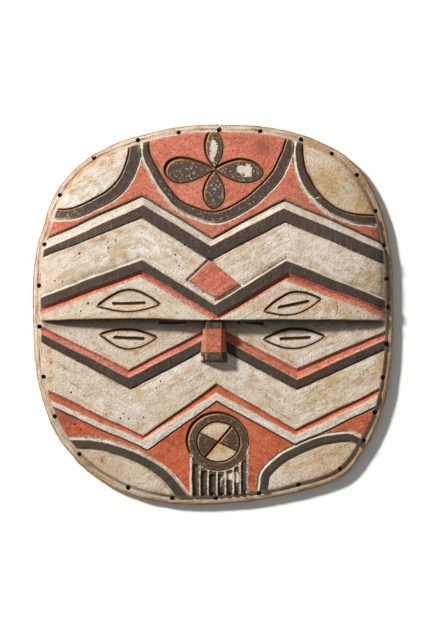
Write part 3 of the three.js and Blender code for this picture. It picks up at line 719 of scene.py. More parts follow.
def sow(spacing, share, keep_off, clearance):
    """A hexagonal sowing inside a share of the outline, clear of some places"""
    rows = np.arange(-SOWN_UP, SOWN_UP, spacing * math.sqrt(3) / 2)
    columns = np.arange(-SOWN_ACROSS, SOWN_ACROSS, spacing)
    x, y = np.meshgrid(columns, rows)
    x = x + (np.arange(len(rows)) % 2)[:, None] * spacing / 2
    points = np.stack([x.ravel(), y.ravel()], 1)
    points = points[share_of_way(points[:, 0], points[:, 1]) < share]
    cells = {}
    for place in keep_off:
        cells.setdefault((int(place[0] // clearance), int(place[1] // clearance)), []).append(place)
    kept = []
    for point in points:
        i, j = int(point[0] // clearance), int(point[1] // clearance)
        around_it = [(a, b) for a in (i - 1, i, i + 1) for b in (j - 1, j, j + 1)]
        near = [place for cell in around_it for place in cells.get(cell, ())]
        if all((place[0] - point[0]) ** 2 + (place[1] - point[1]) ** 2 > clearance**2 for place in near):
            kept.append(point)
    return np.array(kept)


def triangulated(boundary, cut_paths, spacing, inner_share, clearance):
    """Triangles inside a boundary, with the cut paths as edges; the boundary's vertices come first"""
    points, edges = [boundary], [[(i, (i + 1) % len(boundary)) for i in range(len(boundary))]]
    total = len(boundary)
    for path, closed in cut_paths:
        inside = share_of_way(path[:, 0], path[:, 1]) < inner_share
        numbers = np.where(inside, np.cumsum(inside) - 1 + total, -1)
        following = np.roll(numbers, -1)
        pairs = list(zip(numbers, following)) if closed else list(zip(numbers[:-1], numbers[1:]))
        edges.append([(int(a), int(b)) for a, b in pairs if a >= 0 and b >= 0])
        points.append(path[inside])
        total += int(inside.sum())
    carved = np.vstack(points)
    field_points = sow(spacing, inner_share, carved, clearance)
    coords = [Vector(p) for p in np.vstack([carved, field_points])]
    all_edges = [edge for group in edges for edge in group]
    made = delaunay_2d_cdt(coords, all_edges, [], INSIDE_ONLY, MERGE_WITHIN, True)
    vertices = np.array([tuple(v) for v in made[0]])
    faces = np.array([tuple(f) for f in made[2] if len(f) == 3])
    middle = vertices[faces].mean(1)
    rim_share = share_of_way(boundary[:1, 0], boundary[:1, 1])
    faces = faces[share_of_way(middle[:, 0], middle[:, 1]) < rim_share]  # none beyond a hollow of the edge
    where = {source: i for i, sources in enumerate(made[3]) for source in sources if source < len(boundary)}
    return vertices, faces, np.array([where[i] for i in range(len(boundary))])


front_xy, front_faces, front_edge = triangulated(
    outline_points(SHEET_EDGE, RING_PLACES), paths, GRAIN, FRONT_SOWN, FRONT_CLEAR)
print("front sheet:", len(front_xy), "vertices,", len(front_faces), "triangles")

# %% [markdown]
# ## The hollow behind
# The carver hollowed the back with an adze, which leaves shallow overlapping scallops. The hollow
# follows the front at the thickness of the wood, and stops short of the edge, so the mask
# rests on a flat rim.

# %% Back heights
WALL = 11.0
HOLLOW_REACH, HOLLOW_INNER = 0.9, 0.82  # shares of the way where its slope starts and ends
FLAT_FROM = HOLLOW_REACH + 0.001
HOLLOW_LIP = 1.5
HOLLOW_START, HOLLOW_SLOPE = 4, 22.0  # above the ledge: where the hollow gets deeper, and over how much
BACK_EDGE = 0.992
BACK_RINGS, BACK_PLACES = (0.902, HOLLOW_REACH, 0.86, HOLLOW_INNER), 360
BACK_GRAIN, BACK_SOWN, BACK_CLEAR = 3.2, 0.975, 1.8
SCALLOP, SCALLOP_LENGTH = 11.0, 1.5  # width of one adze stroke, and how much longer it is
SCALLOP_DEPTH, SCALLOP_SEED = 0.5, 5


def lattice(i, j, seed):
    """A steady number from 0 to 1 for each whole-numbered place; large factors make neighbours differ"""
    value = np.sin(i * 127.1 + j * 311.7 + seed * 74.7) * 43758.5453
    return value - np.floor(value)


def scallops(x, y, size, seed):
    """0 in the middle of an adze stroke, 1 on the ridge where two strokes meet"""
    nearest, second = np.full(x.shape, 9.0), np.full(x.shape, 9.0)
    u, v = x / size, y / (size * SCALLOP_LENGTH)
    for di in (-1, 0, 1):
        for dj in (-1, 0, 1):
            i, j = np.floor(u) + di, np.floor(v) + dj
            distance = np.hypot(u - i - lattice(i, j, seed), v - j - lattice(i, j, seed + 1))
            second = np.minimum(second, np.maximum(nearest, distance))
            nearest = np.minimum(nearest, distance)
    return np.clip(nearest / second, 0, 1) ** 2


def back_height(x, y):
    share = share_of_way(x, y)
    up = np.clip((y - line_y(LINE["ledge"], x) - HOLLOW_START) / HOLLOW_SLOPE, 0, 1)
    ceiling = lower_field(x, y) + brow_step(x, y) * up * up * (3 - 2 * up) - WALL
    lip = np.clip((share - HOLLOW_INNER) / (HOLLOW_REACH - HOLLOW_INNER), 0, 1)
    strokes = SCALLOP_DEPTH * scallops(x, y, SCALLOP, SCALLOP_SEED) * (1 - lip)
    return np.where(share > FLAT_FROM, 0, ceiling + (HOLLOW_LIP - ceiling) * lip - strokes)


back_paths = [(outline_points(share, BACK_PLACES), True) for share in BACK_RINGS]
back_xy, back_faces, back_edge = triangulated(
    outline_points(BACK_EDGE, RING_PLACES), back_paths, BACK_GRAIN, BACK_SOWN, BACK_CLEAR)
print("back sheet:", len(back_xy), "vertices,", len(back_faces), "triangles")

# %% [markdown]
# ## Closing the block
# Three rings of places, joined by strips of triangles, carry the front sheet's edge round to the
# back. A closed block with its faces outwards is what a Boolean can cut.

# %% The closed block
SIDE_RINGS = (8.2, 5.4, 2.5)  # heights above the back
METRE_PER_MM = 0.001


def oriented(xy, faces, up):
    """Triangles turned so that all face up, or all down"""
    a, b, c = (xy[faces[:, i]] for i in range(3))
    area = (b[:, 0] - a[:, 0]) * (c[:, 1] - a[:, 1]) - (b[:, 1] - a[:, 1]) * (c[:, 0] - a[:, 0])
    wrong = (area < 0) == up
    faces = faces.copy()
    faces[wrong] = faces[wrong][:, ::-1]
    return faces


def strip(upper, lower):
    """Two triangles between each pair of neighbours on two rings"""
    a, b, c, d = upper, np.roll(upper, -1), lower, np.roll(lower, -1)
    return np.vstack([np.stack([a, c, d], 1), np.stack([a, d, b], 1)])


front_points = np.column_stack([front_xy, front_height(front_xy[:, 0], front_xy[:, 1])])
back_points = np.column_stack([back_xy, back_height(back_xy[:, 0], back_xy[:, 1])])
edge_ring = outline_points(1.0, RING_PLACES)
rings = [np.column_stack([edge_ring, np.full(RING_PLACES, height)]) for height in SIDE_RINGS]
block_points = np.vstack([front_points, back_points, *rings])
back_start, ring_start = len(front_points), len(front_points) + len(back_points)
levels = [front_edge]
levels += [ring_start + i * RING_PLACES + np.arange(RING_PLACES) for i in range(len(SIDE_RINGS))]
levels += [back_start + back_edge]
front_part = oriented(front_xy, front_faces, True)
back_part = oriented(back_xy, back_faces, False) + back_start
side_part = np.vstack([strip(upper, lower) for upper, lower in zip(levels, levels[1:])])
block_faces = np.vstack([front_part, side_part, back_part])
face_finish = np.concatenate([np.zeros(len(front_part) + len(side_part)), np.ones(len(back_part))])


def in_metres(points):
    """Points in the carver's millimetres as points of the frame, which is in metres"""
    return (np.asarray(points) - FRAME_SHIFT) * METRE_PER_MM


def mesh_object(name, points, faces, materials, finish=None, edges=()):
    """An object from points in the carver's millimetres"""
    mesh = bpy.data.meshes.new(name)
    mesh.from_pydata(in_metres(points).tolist(), list(edges), [[int(i) for i in face] for face in faces])
    for material in materials:
        mesh.materials.append(material)
    if finish is not None:
        mesh.polygons.foreach_set("material_index", np.asarray(finish, np.int32))
    piece = bpy.data.objects.new(name, mesh)
    bpy.context.scene.collection.objects.link(piece)
    return piece


edge_uses = np.sort(np.vstack([block_faces[:, pair] for pair in ([0, 1], [1, 2], [2, 0])]), 1)
uses = np.unique(edge_uses, axis=0, return_counts=True)[1]
print("block:", len(block_points), "vertices,", len(block_faces), "triangles")
print("open edges:", int((uses != 2).sum()))

# %% [markdown]
# ## One helper for nodes
# A node tree, for a material or for geometry, is a list of nodes with settings and links. This one
# function adds any kind of node and hands back one of its outputs for the next node to use.

# %% Node helper and colours
MIX_UNDER, MIX_OVER, MIXED = 6, 7, 2  # numbers of the Mix node's sockets for colours, as their names repeat


def add(tree, kind, inputs=None, give=0, **settings):
    """Adds a node, sets or links its inputs, and returns one of its outputs"""
    node = tree.nodes.new(kind)
    for name, value in settings.items():
        setattr(node, name, value)
    for socket, value in (inputs or {}).items():
        if isinstance(value, bpy.types.NodeSocket):
            tree.links.new(value, node.inputs[socket])
        else:
            node.inputs[socket].default_value = value
    return node.outputs[give] if len(node.outputs) else node


def srgb(text):
    """An sRGB hex colour as linear values with alpha"""
    parts = [int(text[i : i + 2], 16) / 255 for i in (1, 3, 5)]
    return (*[p / 12.92 if p <= 0.04045 else ((p + 0.055) / 1.055) ** 2.4 for p in parts], 1.0)


print("cream as linear:", [round(value, 3) for value in srgb("#D8C9B2")])

# %% [markdown]
# ## Bare wood
# Behind the face and inside the holes the wood was never painted. It is a light, dry softwood that
# has browned with handling: long fibres along the height of the mask, low gloss.

# %% Bare wood material
MM = 1000.0  # object coordinates are metres; patterns are laid out in millimetres
FIBRE_LONG = (1.0, 0.07, 1.0)  # squeezed along the height, so that the noise comes out as long fibres
BROAD_TONE = 30  # millimetres from one change of tone to the next


def new_material(name):
    material = bpy.data.materials.new(name)
    material.use_nodes = True
    material.node_tree.nodes.clear()
    return material, material.node_tree


def bare_wood(name, pale, deep, fibre_mm, bump_mm):
    material, tree = new_material(name)
    place = add(tree, "ShaderNodeTexCoord", give="Object")
    mm = add(tree, "ShaderNodeVectorMath", {0: place, 1: (MM, MM, MM)}, operation="MULTIPLY")
    along = add(tree, "ShaderNodeVectorMath", {0: mm, 1: FIBRE_LONG}, operation="MULTIPLY")
    fibre = add(tree, "ShaderNodeTexNoise", {"Vector": along, "Scale": 1 / fibre_mm, "Detail": 5.0})
    broad = add(tree, "ShaderNodeTexNoise", {"Vector": mm, "Scale": 1 / BROAD_TONE, "Detail": 3.0})
    tone = add(tree, "ShaderNodeMath", {0: fibre, 1: broad}, operation="ADD")
    tone = add(tree, "ShaderNodeMapRange", {0: tone, 1: 0.75, 2: 1.25})
    colour = add(tree, "ShaderNodeMix",
                 {0: tone, MIX_UNDER: srgb(deep), MIX_OVER: srgb(pale)}, MIXED, data_type="RGBA")
    bump = add(tree, "ShaderNodeBump", {"Height": fibre, "Strength": 1.0, "Distance": bump_mm / MM})
    shader = add(tree, "ShaderNodeBsdfPrincipled", {"Base Color": colour, "Roughness": 0.75, "Normal": bump})
    add(tree, "ShaderNodeOutputMaterial", {"Surface": shader})
    return material


painted, painted_tree = new_material("kaolin_red_earth_and_charcoal")  # its nodes come later
adzed_wood = bare_wood("adzed_softwood", "#9C7A52", "#5E432B", 1.6, 0.35)
hole_wood = bare_wood("pierced_softwood", "#7A5836", "#3E2A1A", 1.2, 0.2)
print("made", adzed_wood.name, "and", hole_wood.name)

# %% [markdown]
# ## Holes, worm holes and fringe cuts
# The rim is pierced all round, where a raffia collar was tied. Insects left small holes in the
# face, and a gouge cut the troughs of the fringe. All three repeat, so node trees grow their
# cutters from places and lines: one tree for round holes, one for gouge troughs.

# %% Node trees that grow cutters
def new_tree(name, sizes):
    """A geometry tree with a named input for each size"""
    tree = bpy.data.node_groups.new(name, "GeometryNodeTree")
    tree.interface.new_socket("Geometry", in_out="INPUT", socket_type="NodeSocketGeometry")
    for label, kind in sizes:
        tree.interface.new_socket(label, in_out="INPUT", socket_type=kind)
    tree.interface.new_socket("Geometry", in_out="OUTPUT", socket_type="NodeSocketGeometry")
    inputs = tree.nodes.new("NodeGroupInput")
    return tree, inputs.outputs


def finish_tree(tree, geometry, material):
    whole = add(tree, "GeometryNodeRealizeInstances", {"Geometry": geometry})
    dressed = add(tree, "GeometryNodeSetMaterial", {"Geometry": whole, "Material": material})
    add(tree, "NodeGroupOutput", {0: dressed})


holes_tree, given = new_tree("round_holes", [
    ("Radius", "NodeSocketFloat"), ("Depth", "NodeSocketFloat"), ("Sides", "NodeSocketInt"),
    ("Unevenness", "NodeSocketFloat"), ("Lean", "NodeSocketFloat"), ("Seed", "NodeSocketInt"),
    ("Material", "NodeSocketMaterial"),
])
drill = add(holes_tree, "GeometryNodeMeshCylinder",
            {"Vertices": given["Sides"], "Radius": given["Radius"], "Depth": given["Depth"]}, "Mesh")
small = add(holes_tree, "ShaderNodeMath", {0: 1.0, 1: given["Unevenness"]}, operation="SUBTRACT")
large = add(holes_tree, "ShaderNodeMath", {0: 1.0, 1: given["Unevenness"]}, operation="ADD")
low = add(holes_tree, "ShaderNodeCombineXYZ", {0: small, 1: small, 2: 1.0})
high = add(holes_tree, "ShaderNodeCombineXYZ", {0: large, 1: large, 2: 1.0})
size = add(holes_tree, "FunctionNodeRandomValue",
           {0: low, 1: high, "Seed": given["Seed"]}, data_type="FLOAT_VECTOR")
back_lean = add(holes_tree, "ShaderNodeMath", {0: given["Lean"], 1: -1.0}, operation="MULTIPLY")
least = add(holes_tree, "ShaderNodeCombineXYZ", {0: back_lean, 1: back_lean, 2: 0.0})
most = add(holes_tree, "ShaderNodeCombineXYZ", {0: given["Lean"], 1: given["Lean"], 2: 2 * math.pi})
turn = add(holes_tree, "FunctionNodeRandomValue",
           {0: least, 1: most, "Seed": given["Seed"]}, data_type="FLOAT_VECTOR")
drills = add(holes_tree, "GeometryNodeInstanceOnPoints",
             {"Points": given["Geometry"], "Instance": drill, "Rotation": turn, "Scale": size})
finish_tree(holes_tree, drills, given["Material"])

gouge_tree, given = new_tree("gouge_troughs", [
    ("Radius", "NodeSocketFloat"), ("Sides", "NodeSocketInt"), ("Material", "NodeSocketMaterial"),
])
stroke = add(gouge_tree, "GeometryNodeMeshToCurve", {"Mesh": given["Geometry"]})
sweep = add(gouge_tree, "GeometryNodeCurvePrimitiveCircle",
            {"Resolution": given["Sides"], "Radius": given["Radius"]}, "Curve")
gouge = add(gouge_tree, "GeometryNodeCurveToMesh",
            {"Curve": stroke, "Profile Curve": sweep, "Fill Caps": True})
finish_tree(gouge_tree, gouge, given["Material"])
print("trees:", holes_tree.name, gouge_tree.name)

# %% Growing the cutters
def grown(name, points, edges, tree, sizes):
    """A plain mesh that a node tree grows from places, in the carver's millimetres"""
    piece = mesh_object(name, points, [], [], edges=edges)
    modifier = piece.modifiers.new("grow", "NODES")
    modifier.node_group = tree
    for item in tree.interface.items_tree:
        if item.in_out == "INPUT" and item.name in sizes:
            modifier[item.identifier] = sizes[item.name]
    graph = bpy.context.evaluated_depsgraph_get()
    mesh = bpy.data.meshes.new_from_object(piece.evaluated_get(graph))
    piece.modifiers.remove(modifier)
    piece.data = mesh
    return piece


def on_front(x, y, lift=0.0):
    x, y = np.asarray(x, float), np.asarray(y, float)
    return np.column_stack([x, y, front_height(x, y) + lift])


print("a place on the brow:", on_front([0.0], [0.0]).round(1).tolist())

# %% Round holes
PERFORATION_RADIUS = 2.25
RIM_MIDDLE = 7.0  # height above the back
PERFORATIONS = [  # direction in degrees, share of the way to the outline
    (115.0, 0.978), (101.7, 0.967), (87.9, 0.967), (74.5, 0.97), (61.5, 0.972), (51.4, 0.97), (41.3, 0.97),
    (29.2, 0.966), (18.3, 0.965), (7.5, 0.966), (-1.7, 0.968), (-14.0, 0.962), (-24.1, 0.962), (-34.3, 0.963),
    (-42.8, 0.97), (-52.9, 0.963), (-65.0, 0.962), (-76.7, 0.963), (-89.3, 0.966), (-101.8, 0.967),
    (-114.5, 0.968), (-131.2, 0.964), (-144.0, 0.964), (-156.2, 0.966), (-171.8, 0.965), (174.9, 0.964),
    (161.4, 0.963), (145.1, 0.975), (129.6, 0.983),
]
WORM_HOLES = [  # places in the carver's layout
    (-90.8, 69.1), (-98.0, 67.5), (-97.5, 61.8), (-124.5, 56.7), (-146.9, 31.4), (-139.6, 31.4),
    (-35.1, 56.0), (-31.2, 45.8), (-26.7, 64.8), (-115.9, 10.3), (-122.5, 3.1), (-150.7, -44.4),
    (-132.2, -72.6), (-48.9, -61.8), (-52.8, -68.1), (-83.0, -91.9), (-86.0, -96.3), (-78.6, -96.8),
    (-65.0, -95.6), (-128.4, -101.6), (-123.0, -106.4),
]
angles = np.radians([direction for direction, _ in PERFORATIONS])
radii = outline_radius(angles) * [share for _, share in PERFORATIONS]
hole_x = OUTLINE_CENTRE[0] + radii * np.cos(angles)
hole_y = OUTLINE_CENTRE[1] + radii * np.sin(angles)
rim_places = np.column_stack([hole_x, hole_y, np.full(len(angles), RIM_MIDDLE)])
perforations = grown("perforation_cutters", rim_places, [], holes_tree, {
    "Radius": PERFORATION_RADIUS / MM, "Depth": 24 / MM, "Sides": 14, "Unevenness": 0.14, "Lean": 0.08,
    "Seed": 3, "Material": hole_wood})
worm_places = on_front(*np.array(WORM_HOLES).T)
worm_holes = grown("worm_hole_cutters", worm_places, [], holes_tree, {
    "Radius": 0.9 / MM, "Depth": 9 / MM, "Sides": 8, "Unevenness": 0.3, "Lean": 0.25, "Seed": 8,
    "Material": hole_wood})
print(len(PERFORATIONS), "perforations and", len(WORM_HOLES), "worm holes")

# %% Fringe troughs
TROUGH_STEPS, TROUGH_LIFT = 8, 0.2  # places along a trough, and how far the gouge was held off the wood
TROUGH_GAP, TROUGH_PAST = 1.2, 0.1  # how far under the disc it starts, and past the fringe it ends
stroke_edges = [(i, i + 1) for i in range(TROUGH_STEPS - 1)]
troughs = []
for left, right in zip(RIDGES, RIDGES[1:]):
    middle, half = (left + right) / 2, (right - left) / 2 - RIDGE_HALF
    gouge_top = float(under_disc(middle, TROUGH_GAP)) - half
    gouge_y = np.linspace(gouge_top, FRINGE_BOTTOM - TROUGH_PAST, TROUGH_STEPS)
    stroke = on_front(np.full(TROUGH_STEPS, middle), gouge_y, TROUGH_LIFT)
    troughs.append(grown("trough_cutter", stroke, stroke_edges, gouge_tree, {
        "Radius": half / MM, "Sides": 14, "Material": painted}))
for piece in (perforations, worm_holes, *troughs):
    print(piece.name, len(piece.data.polygons), "faces")

# %% [markdown]
# ## Slits and cracks
# Narrow openings under the brow let the wearer see. The wood has dried cracks along its grain,
# and a short split runs from one hole to the edge. Each is a thin prism with its own outline.

# %% Prism cutters
SIGHT_SLITS = [  # the corners of each opening
    [(-50.6, -6.2), (-24.6, -5.9), (-24.6, -7.4), (-33.5, -8.4), (-50.0, -9.2)],
    [(22.0, -6.0), (25.2, -6.2), (25.0, -8.0), (22.2, -7.8)],
    [(29.9, -6.4), (47.3, -6.5), (47.0, -9.6), (38.0, -8.6), (29.9, -8.0)],
]
CRACKS = [  # a path and its width at the middle
    ([(113.6, 14.7), (114.4, 9.5), (114.9, 4.5), (112.2, -3.5)], 0.5),
    ([(66.2, -75.9), (66.6, -79.5), (66.0, -83.4)], 0.5),
    ([(41.2, -35.5), (41.5, -40.1)], 0.4),
    ([(-136.4, -31.8), (-136.6, -37.4)], 0.5),
    ([(-23.0, -29.0), (-22.6, -34.0)], 0.45),
    ([(-13.3, -25.0), (-13.5, -30.5)], 0.45),
    ([(-78.5, 155.6), (-78.3, 150.0), (-78.6, 146.4)], 0.4),
]
SPLIT = [(5.3, 171.5), (6.9, 171.5), (6.6, 180.0), (5.8, 180.0)]  # from one hole to the edge
CRACK_STEP, CRACK_END = 1.6, 0.12  # spacing of its places, and the turn at which its swell starts
CRACK_DEPTH, CRACK_OVER = 1.6, 3
UNDER_BACK, OVER_RIM, OVER_FIELD = -1, 20, 30  # heights that a cutter reaches to pass right through


def crack_outline(path, width):
    path = smooth_path(path, CRACK_STEP)
    swell = np.sin(np.linspace(CRACK_END, math.pi - CRACK_END, len(path))) * width / 2
    return np.vstack([offset_path(path, swell), offset_path(path, -swell)[::-1]])


def prism_cutter(name, outline, low, high):
    outline = anticlockwise(np.array(outline, float))
    count = len(outline)
    points = np.vstack([np.column_stack([outline, np.full(count, z)]) for z in (low, high)])
    faces = [list(range(count))[::-1], list(range(count, 2 * count))]
    faces += [[i, (i + 1) % count, count + (i + 1) % count, count + i] for i in range(count)]
    return mesh_object(name, points, faces, [hole_wood])


print(len(SIGHT_SLITS), "sight slits and", len(CRACKS), "cracks to cut")

# %% [markdown]
# ## Taking the cuts away
# The cutters are put in one collection, so that a single Boolean takes them all away. Their
# materials are among those of the block, so each wall that is cut shows its cutter's material.

# %% One Boolean for all cutters
cutters = [perforations, worm_holes, *troughs, prism_cutter("rim_split", SPLIT, UNDER_BACK, OVER_RIM)]
cutters += [prism_cutter("sight_slit", slit, UNDER_BACK, OVER_FIELD) for slit in SIGHT_SLITS]
for path, width in CRACKS:
    middle = np.array(path[len(path) // 2])
    surface = float(front_height(middle[:1], middle[1:])[0])
    outline = crack_outline(path, width)
    cutters.append(prism_cutter("crack", outline, surface - CRACK_DEPTH, surface + CRACK_OVER))

block = mesh_object("painted_mask", block_points, block_faces, [painted, adzed_wood, hole_wood], face_finish)
cutting = bpy.data.collections.new("cutters")
bpy.context.scene.collection.children.link(cutting)
for cutter in cutters:
    bpy.context.scene.collection.objects.unlink(cutter)
    cutting.objects.link(cutter)
modifier = block.modifiers.new("cut", "BOOLEAN")
modifier.operand_type, modifier.collection = "COLLECTION", cutting
modifier.operation, modifier.solver = "DIFFERENCE", "MANIFOLD"
cut_mesh = bpy.data.meshes.new_from_object(block.evaluated_get(bpy.context.evaluated_depsgraph_get()))
block.modifiers.remove(modifier)
block.data = cut_mesh
for cutter in cutters:
    bpy.data.objects.remove(cutter)
bpy.data.collections.remove(cutting)
print("cut block:", len(cut_mesh.vertices), "vertices,", len(cut_mesh.polygons), "faces")

# %% [markdown]
# ## Where each colour goes
# The pigments follow the carving, so the layout that gave the heights also gives the paint. Each
# colour gets one number for each vertex: how many millimetres inside its edge the place lies. The
# material can then make that edge ragged, which a painted-on picture could not.

# %% Paint layout
PAINT_EDGE = FIELD_EDGE + 0.003
MEAN_REACH = 172.0  # turns a share of the way out into millimetres
LEVEL = 0.9  # a band's width is this share of its height on the face


def band_inside(upper, lower, x, y):
    return np.minimum(line_y(upper, x) - y, y - line_y(lower, x)) * LEVEL


def within(value, low, high):
    """How far a value lies between two limits"""
    return np.minimum(value - low, high - value)


def near_line(line, x, y, half):
    return half - np.abs(line_y(line, x) - y) * LEVEL


def motif_distances(x, y):
    """The distances that several colours share"""
    radius, cross = disc_distances(x, y)
    return {
        "petals": np.max([inside_by(x, y, path) for path in PETAL_PATHS], 0),
        "diamond": inside_by(x, y, DIAMOND),
        "radius": radius,
        "cross": cross,
        "fringe": fringe_inside(x, y),
        "ridge": np.min([np.abs(x - ridge) for ridge in RIDGES], 0),
        "nose": nose_height(x, y) > FIELD_EDGE_HEIGHT + LOWER_RISE,
    }


print("paint ends", round((1 - PAINT_EDGE) * MEAN_REACH, 1), "mm from the edge of the rim")

# %% Black, red and white slip
ARC_LAPS = (0.1, 0.2)  # how far the black of an arc laps over its outer and its inner edge
PETAL_SHY, RING_SHY, QUARTER_SHY, TROUGH_LAP = 0.2, 0.6, 0.8, 0.15  # black stops short, or laps over
CROWN_CLEAR, LOWER_CLEAR = 2.2, 2.4  # how far the red stays off the arcs
DISC_CLEAR, FRINGE_CLEAR = 0.9, 0.2  # and off the disc and the fringe
MEDALLION_SHY, DIAMOND_LAP = 0.9, 0.4
BEVEL_SLIP = (-3.3, 0.1)  # how far inside an arc's outer edge its white strip starts and ends
BAND_SLIP = (0.2, 2.6)  # the same above the second band
DIAMOND_SLIP, SLIP_TOP = (-3.8, -1.6), 30  # the same round the diamond, on its lower half only
NO_SLIP = -9  # what keeps it off the upper half
GROOVE_WALL = 0.24  # share of the way from the top groove to its band where its wall starts


def black_inside(x, y, at, sides):
    sector = np.where(at["cross"][0] * at["cross"][1] < 0, 1, -1) * np.min(np.abs(at["cross"]), 0)
    bands = [band_inside(LINE["top_" + name], LINE["bottom_" + name], x, y) for name in "abc"]
    arcs = [np.minimum(outer + ARC_LAPS[0], -inner + ARC_LAPS[1]) for outer, inner in sides.values()]
    ring = within(at["radius"], DISC_INNER + RING_SHY, DISC_RADIUS - ARC_LAPS[0])
    quarters = np.minimum(sector, DISC_INNER - QUARTER_SHY - at["radius"])
    troughs = np.minimum(at["ridge"] - RIDGE_HALF + TROUGH_LAP, at["fringe"])
    return np.max([*bands, *arcs, at["petals"] - PETAL_SHY, ring, quarters, troughs], 0)


def red_inside(x, y, at, sides):
    upper_arcs = np.max([sides[name][0] for name in ("medallion", "upper_left", "upper_right")], 0)
    lower_arcs = np.max([sides[name][0] for name in ("lower_left", "lower_right")], 0)
    crown = np.minimum(y - line_y(LINE["groove_a"], x), -upper_arcs - CROWN_CLEAR)
    below = line_y(LINE["end_d"], x) - y
    round_disc = at["radius"] - DISC_RADIUS - DISC_CLEAR
    lower = np.min([below, -lower_arcs - LOWER_CLEAR, round_disc, -at["fringe"] - FRINGE_CLEAR], 0)
    edges = (("bottom_b", "red_b"), ("red_c", "top_c"), ("red_d", "white_d"))
    strips = [band_inside(LINE[upper], LINE[under], x, y) for upper, under in edges]
    medallion, diamond = sides["medallion"][1] - MEDALLION_SHY, at["diamond"] + DIAMOND_LAP
    return np.max([crown, lower, medallion, diamond, *strips], 0)


def slip_inside(x, y, at, sides):
    """White slip, laid in the bevels outside the arcs and in the strips above the bands"""
    bevels = [within(outer, *BEVEL_SLIP) for outer, _ in sides.values()]
    groove_wall = between(LINE["groove_a"], LINE["top_a"], GROOVE_WALL)
    return np.max([
        *bevels,
        band_inside(groove_wall, LINE["top_a"], x, y),
        within(y - line_y(LINE["top_b"], x), *BAND_SLIP),
        band_inside(LINE["white_d"], LINE["end_d"], x, y),
        within(at["diamond"], *DIAMOND_SLIP) + np.where(y < SLIP_TOP, 0, NO_SLIP),
    ], 0)


print("red stays", CROWN_CLEAR, "mm off the upper arcs")

# %% Cuts, painted shade in the seams and painted shadow under the brow
CUT_SHY, SLIT_SHY = 0.5, 0.3  # bare wood stops this far inside the arrises of a cut
GROOVE_FOOT = 0.13  # share of the way from the top groove to its band where painted shade lies
DIAMOND_SHADE, SHADE_MORE, SHADE_LESS = (-2.4, -1.1), 0.1, -0.5  # the painted shade is broader on its left
ARRIS_HALF = 0.8
SHADOW_REACH, SHADOW_POWER, SHADOW_TOP = 13, 1.4, 0.95  # how the painted shadow thins out below the ledge
SHADOW_WALL, SHADOW_LEDGE = 0.85, 0.3  # how dark the brow's face and its upper arris are
FULL_STEP = 6  # millimetres of overhang that give the full painted shadow


def cut_layout(x, y, sides):
    """How far inside a knife cut a place lies, and its share of the way down"""
    cuts = [leaned_depth(x, y, cut) for cut in LEANED_CUTS]
    cuts += [(depth, depth / half) for depth, half in disc_cuts(x, y)]
    width, bottom = INNER_CUT[-1][0], INNER_CUT[-2][0]
    for name in ("medallion", "upper_left", "upper_right"):
        inner = sides[name][1]
        way_down = np.minimum(inner / bottom, (width - inner) / (width - bottom))
        cuts.append((within(inner, CUT_SHY, width), way_down))
    slits = np.max([slit_share(x, y, path) for path in EYE_SLITS], 0)
    cuts.append((SLIT_HALF * slits - SLIT_SHY, slits))
    return np.max([depth for depth, _ in cuts], 0), np.max([share for _, share in cuts], 0)


def painted_shade_inside(x, y, at):
    """Painted shade in the corner where one strip meets the next"""
    seams = [  # line, how far up it is moved, half width
        (between(LINE["groove_a"], LINE["top_a"], GROOVE_FOOT), 0, 1.2),
        (LINE["bottom_a"], -0.4, 0.55),
        (LINE["bottom_b"], 0, 0.35),
        (LINE["red_c"], -0.3, 0.45),
        (LINE["bottom_c"], -0.45, 0.75),
        (LINE["red_d"], -0.4, 0.5),
        (LINE["end_d"], -0.4, 0.7),
        (LINE["red_b"], 0.2, 0.2),
    ]
    lines = [near_line(shifted(line, up), x, y, half) for line, up, half in seams]
    broader = np.where(x < DIAMOND[2][0], SHADE_MORE, SHADE_LESS)
    return np.max([*lines, within(at["diamond"], *DIAMOND_SHADE) + broader], 0)


def rubbed_and_lit_arris(x, y):
    """The upper arris of the strips that slope up to a band, rubbed pale and given a painted highlight"""
    lines = [(LINE["red_b"], 0.8), (LINE["top_c"], 0.8), (LINE["white_d"], 0.8), (LINE["top_a"], 0.5)]
    return np.max([near_line(shifted(line, up), x, y, ARRIS_HALF) for line, up in lines], 0)


def painted_ledge_shadow(x, y):
    """Painted shadow under the brow: full in the corner, thinner further down, weaker where the brow stands
    out less
    """
    ledge = line_y(LINE["ledge"], x)
    foot = ledge - LEDGE_RUN / 2
    overhang = np.clip(brow_step(x, y) / FULL_STEP, 0, 1)
    shade = np.clip(1 - (ledge - y) / SHADOW_REACH, 0, 1) ** SHADOW_POWER * SHADOW_TOP * overhang
    corner = (y < foot) & (y > ledge - 2 * LEDGE_RUN)
    ledge_shadow = np.where(y < foot, np.where(corner, np.maximum(shade, SHADOW_WALL), shade), 0)
    return np.where(np.abs(y - ledge) < LEDGE_RUN / 2, SHADOW_LEDGE, ledge_shadow)


print("soot reaches", SHADOW_REACH, "mm below the ledge")

# %% All layers at a place
NOSE_BLACK = (0.205, 0.765)  # the black bands end and start at these shares of the nose
NOSE_ARRIS_HALF = 0.4
ALL_INSIDE = 3.0  # a distance that is inside for any edge
GROOVE_IN, GROOVE_CHIN = 4.3, 3.4  # how far in the rim's groove lies, where painted shade darkens it, and how much more at the chin
GROOVE_HALF = 1.6
RIM_SHADE_SIDE = -38.0  # degrees; the rim is darkest on this side, the one turned from the light: painted shade
RIM_SHADE_MEAN, RIM_SHADE_SWING = 0.5, 0.75
RIM_FADE_IN, WALL_IN = 3, 1.5  # millimetres over which the painted shadow under the brow and the painted shade on walls fade towards the rim
RIM_STRETCH = 0.09  # rim streaks are this much finer across than along


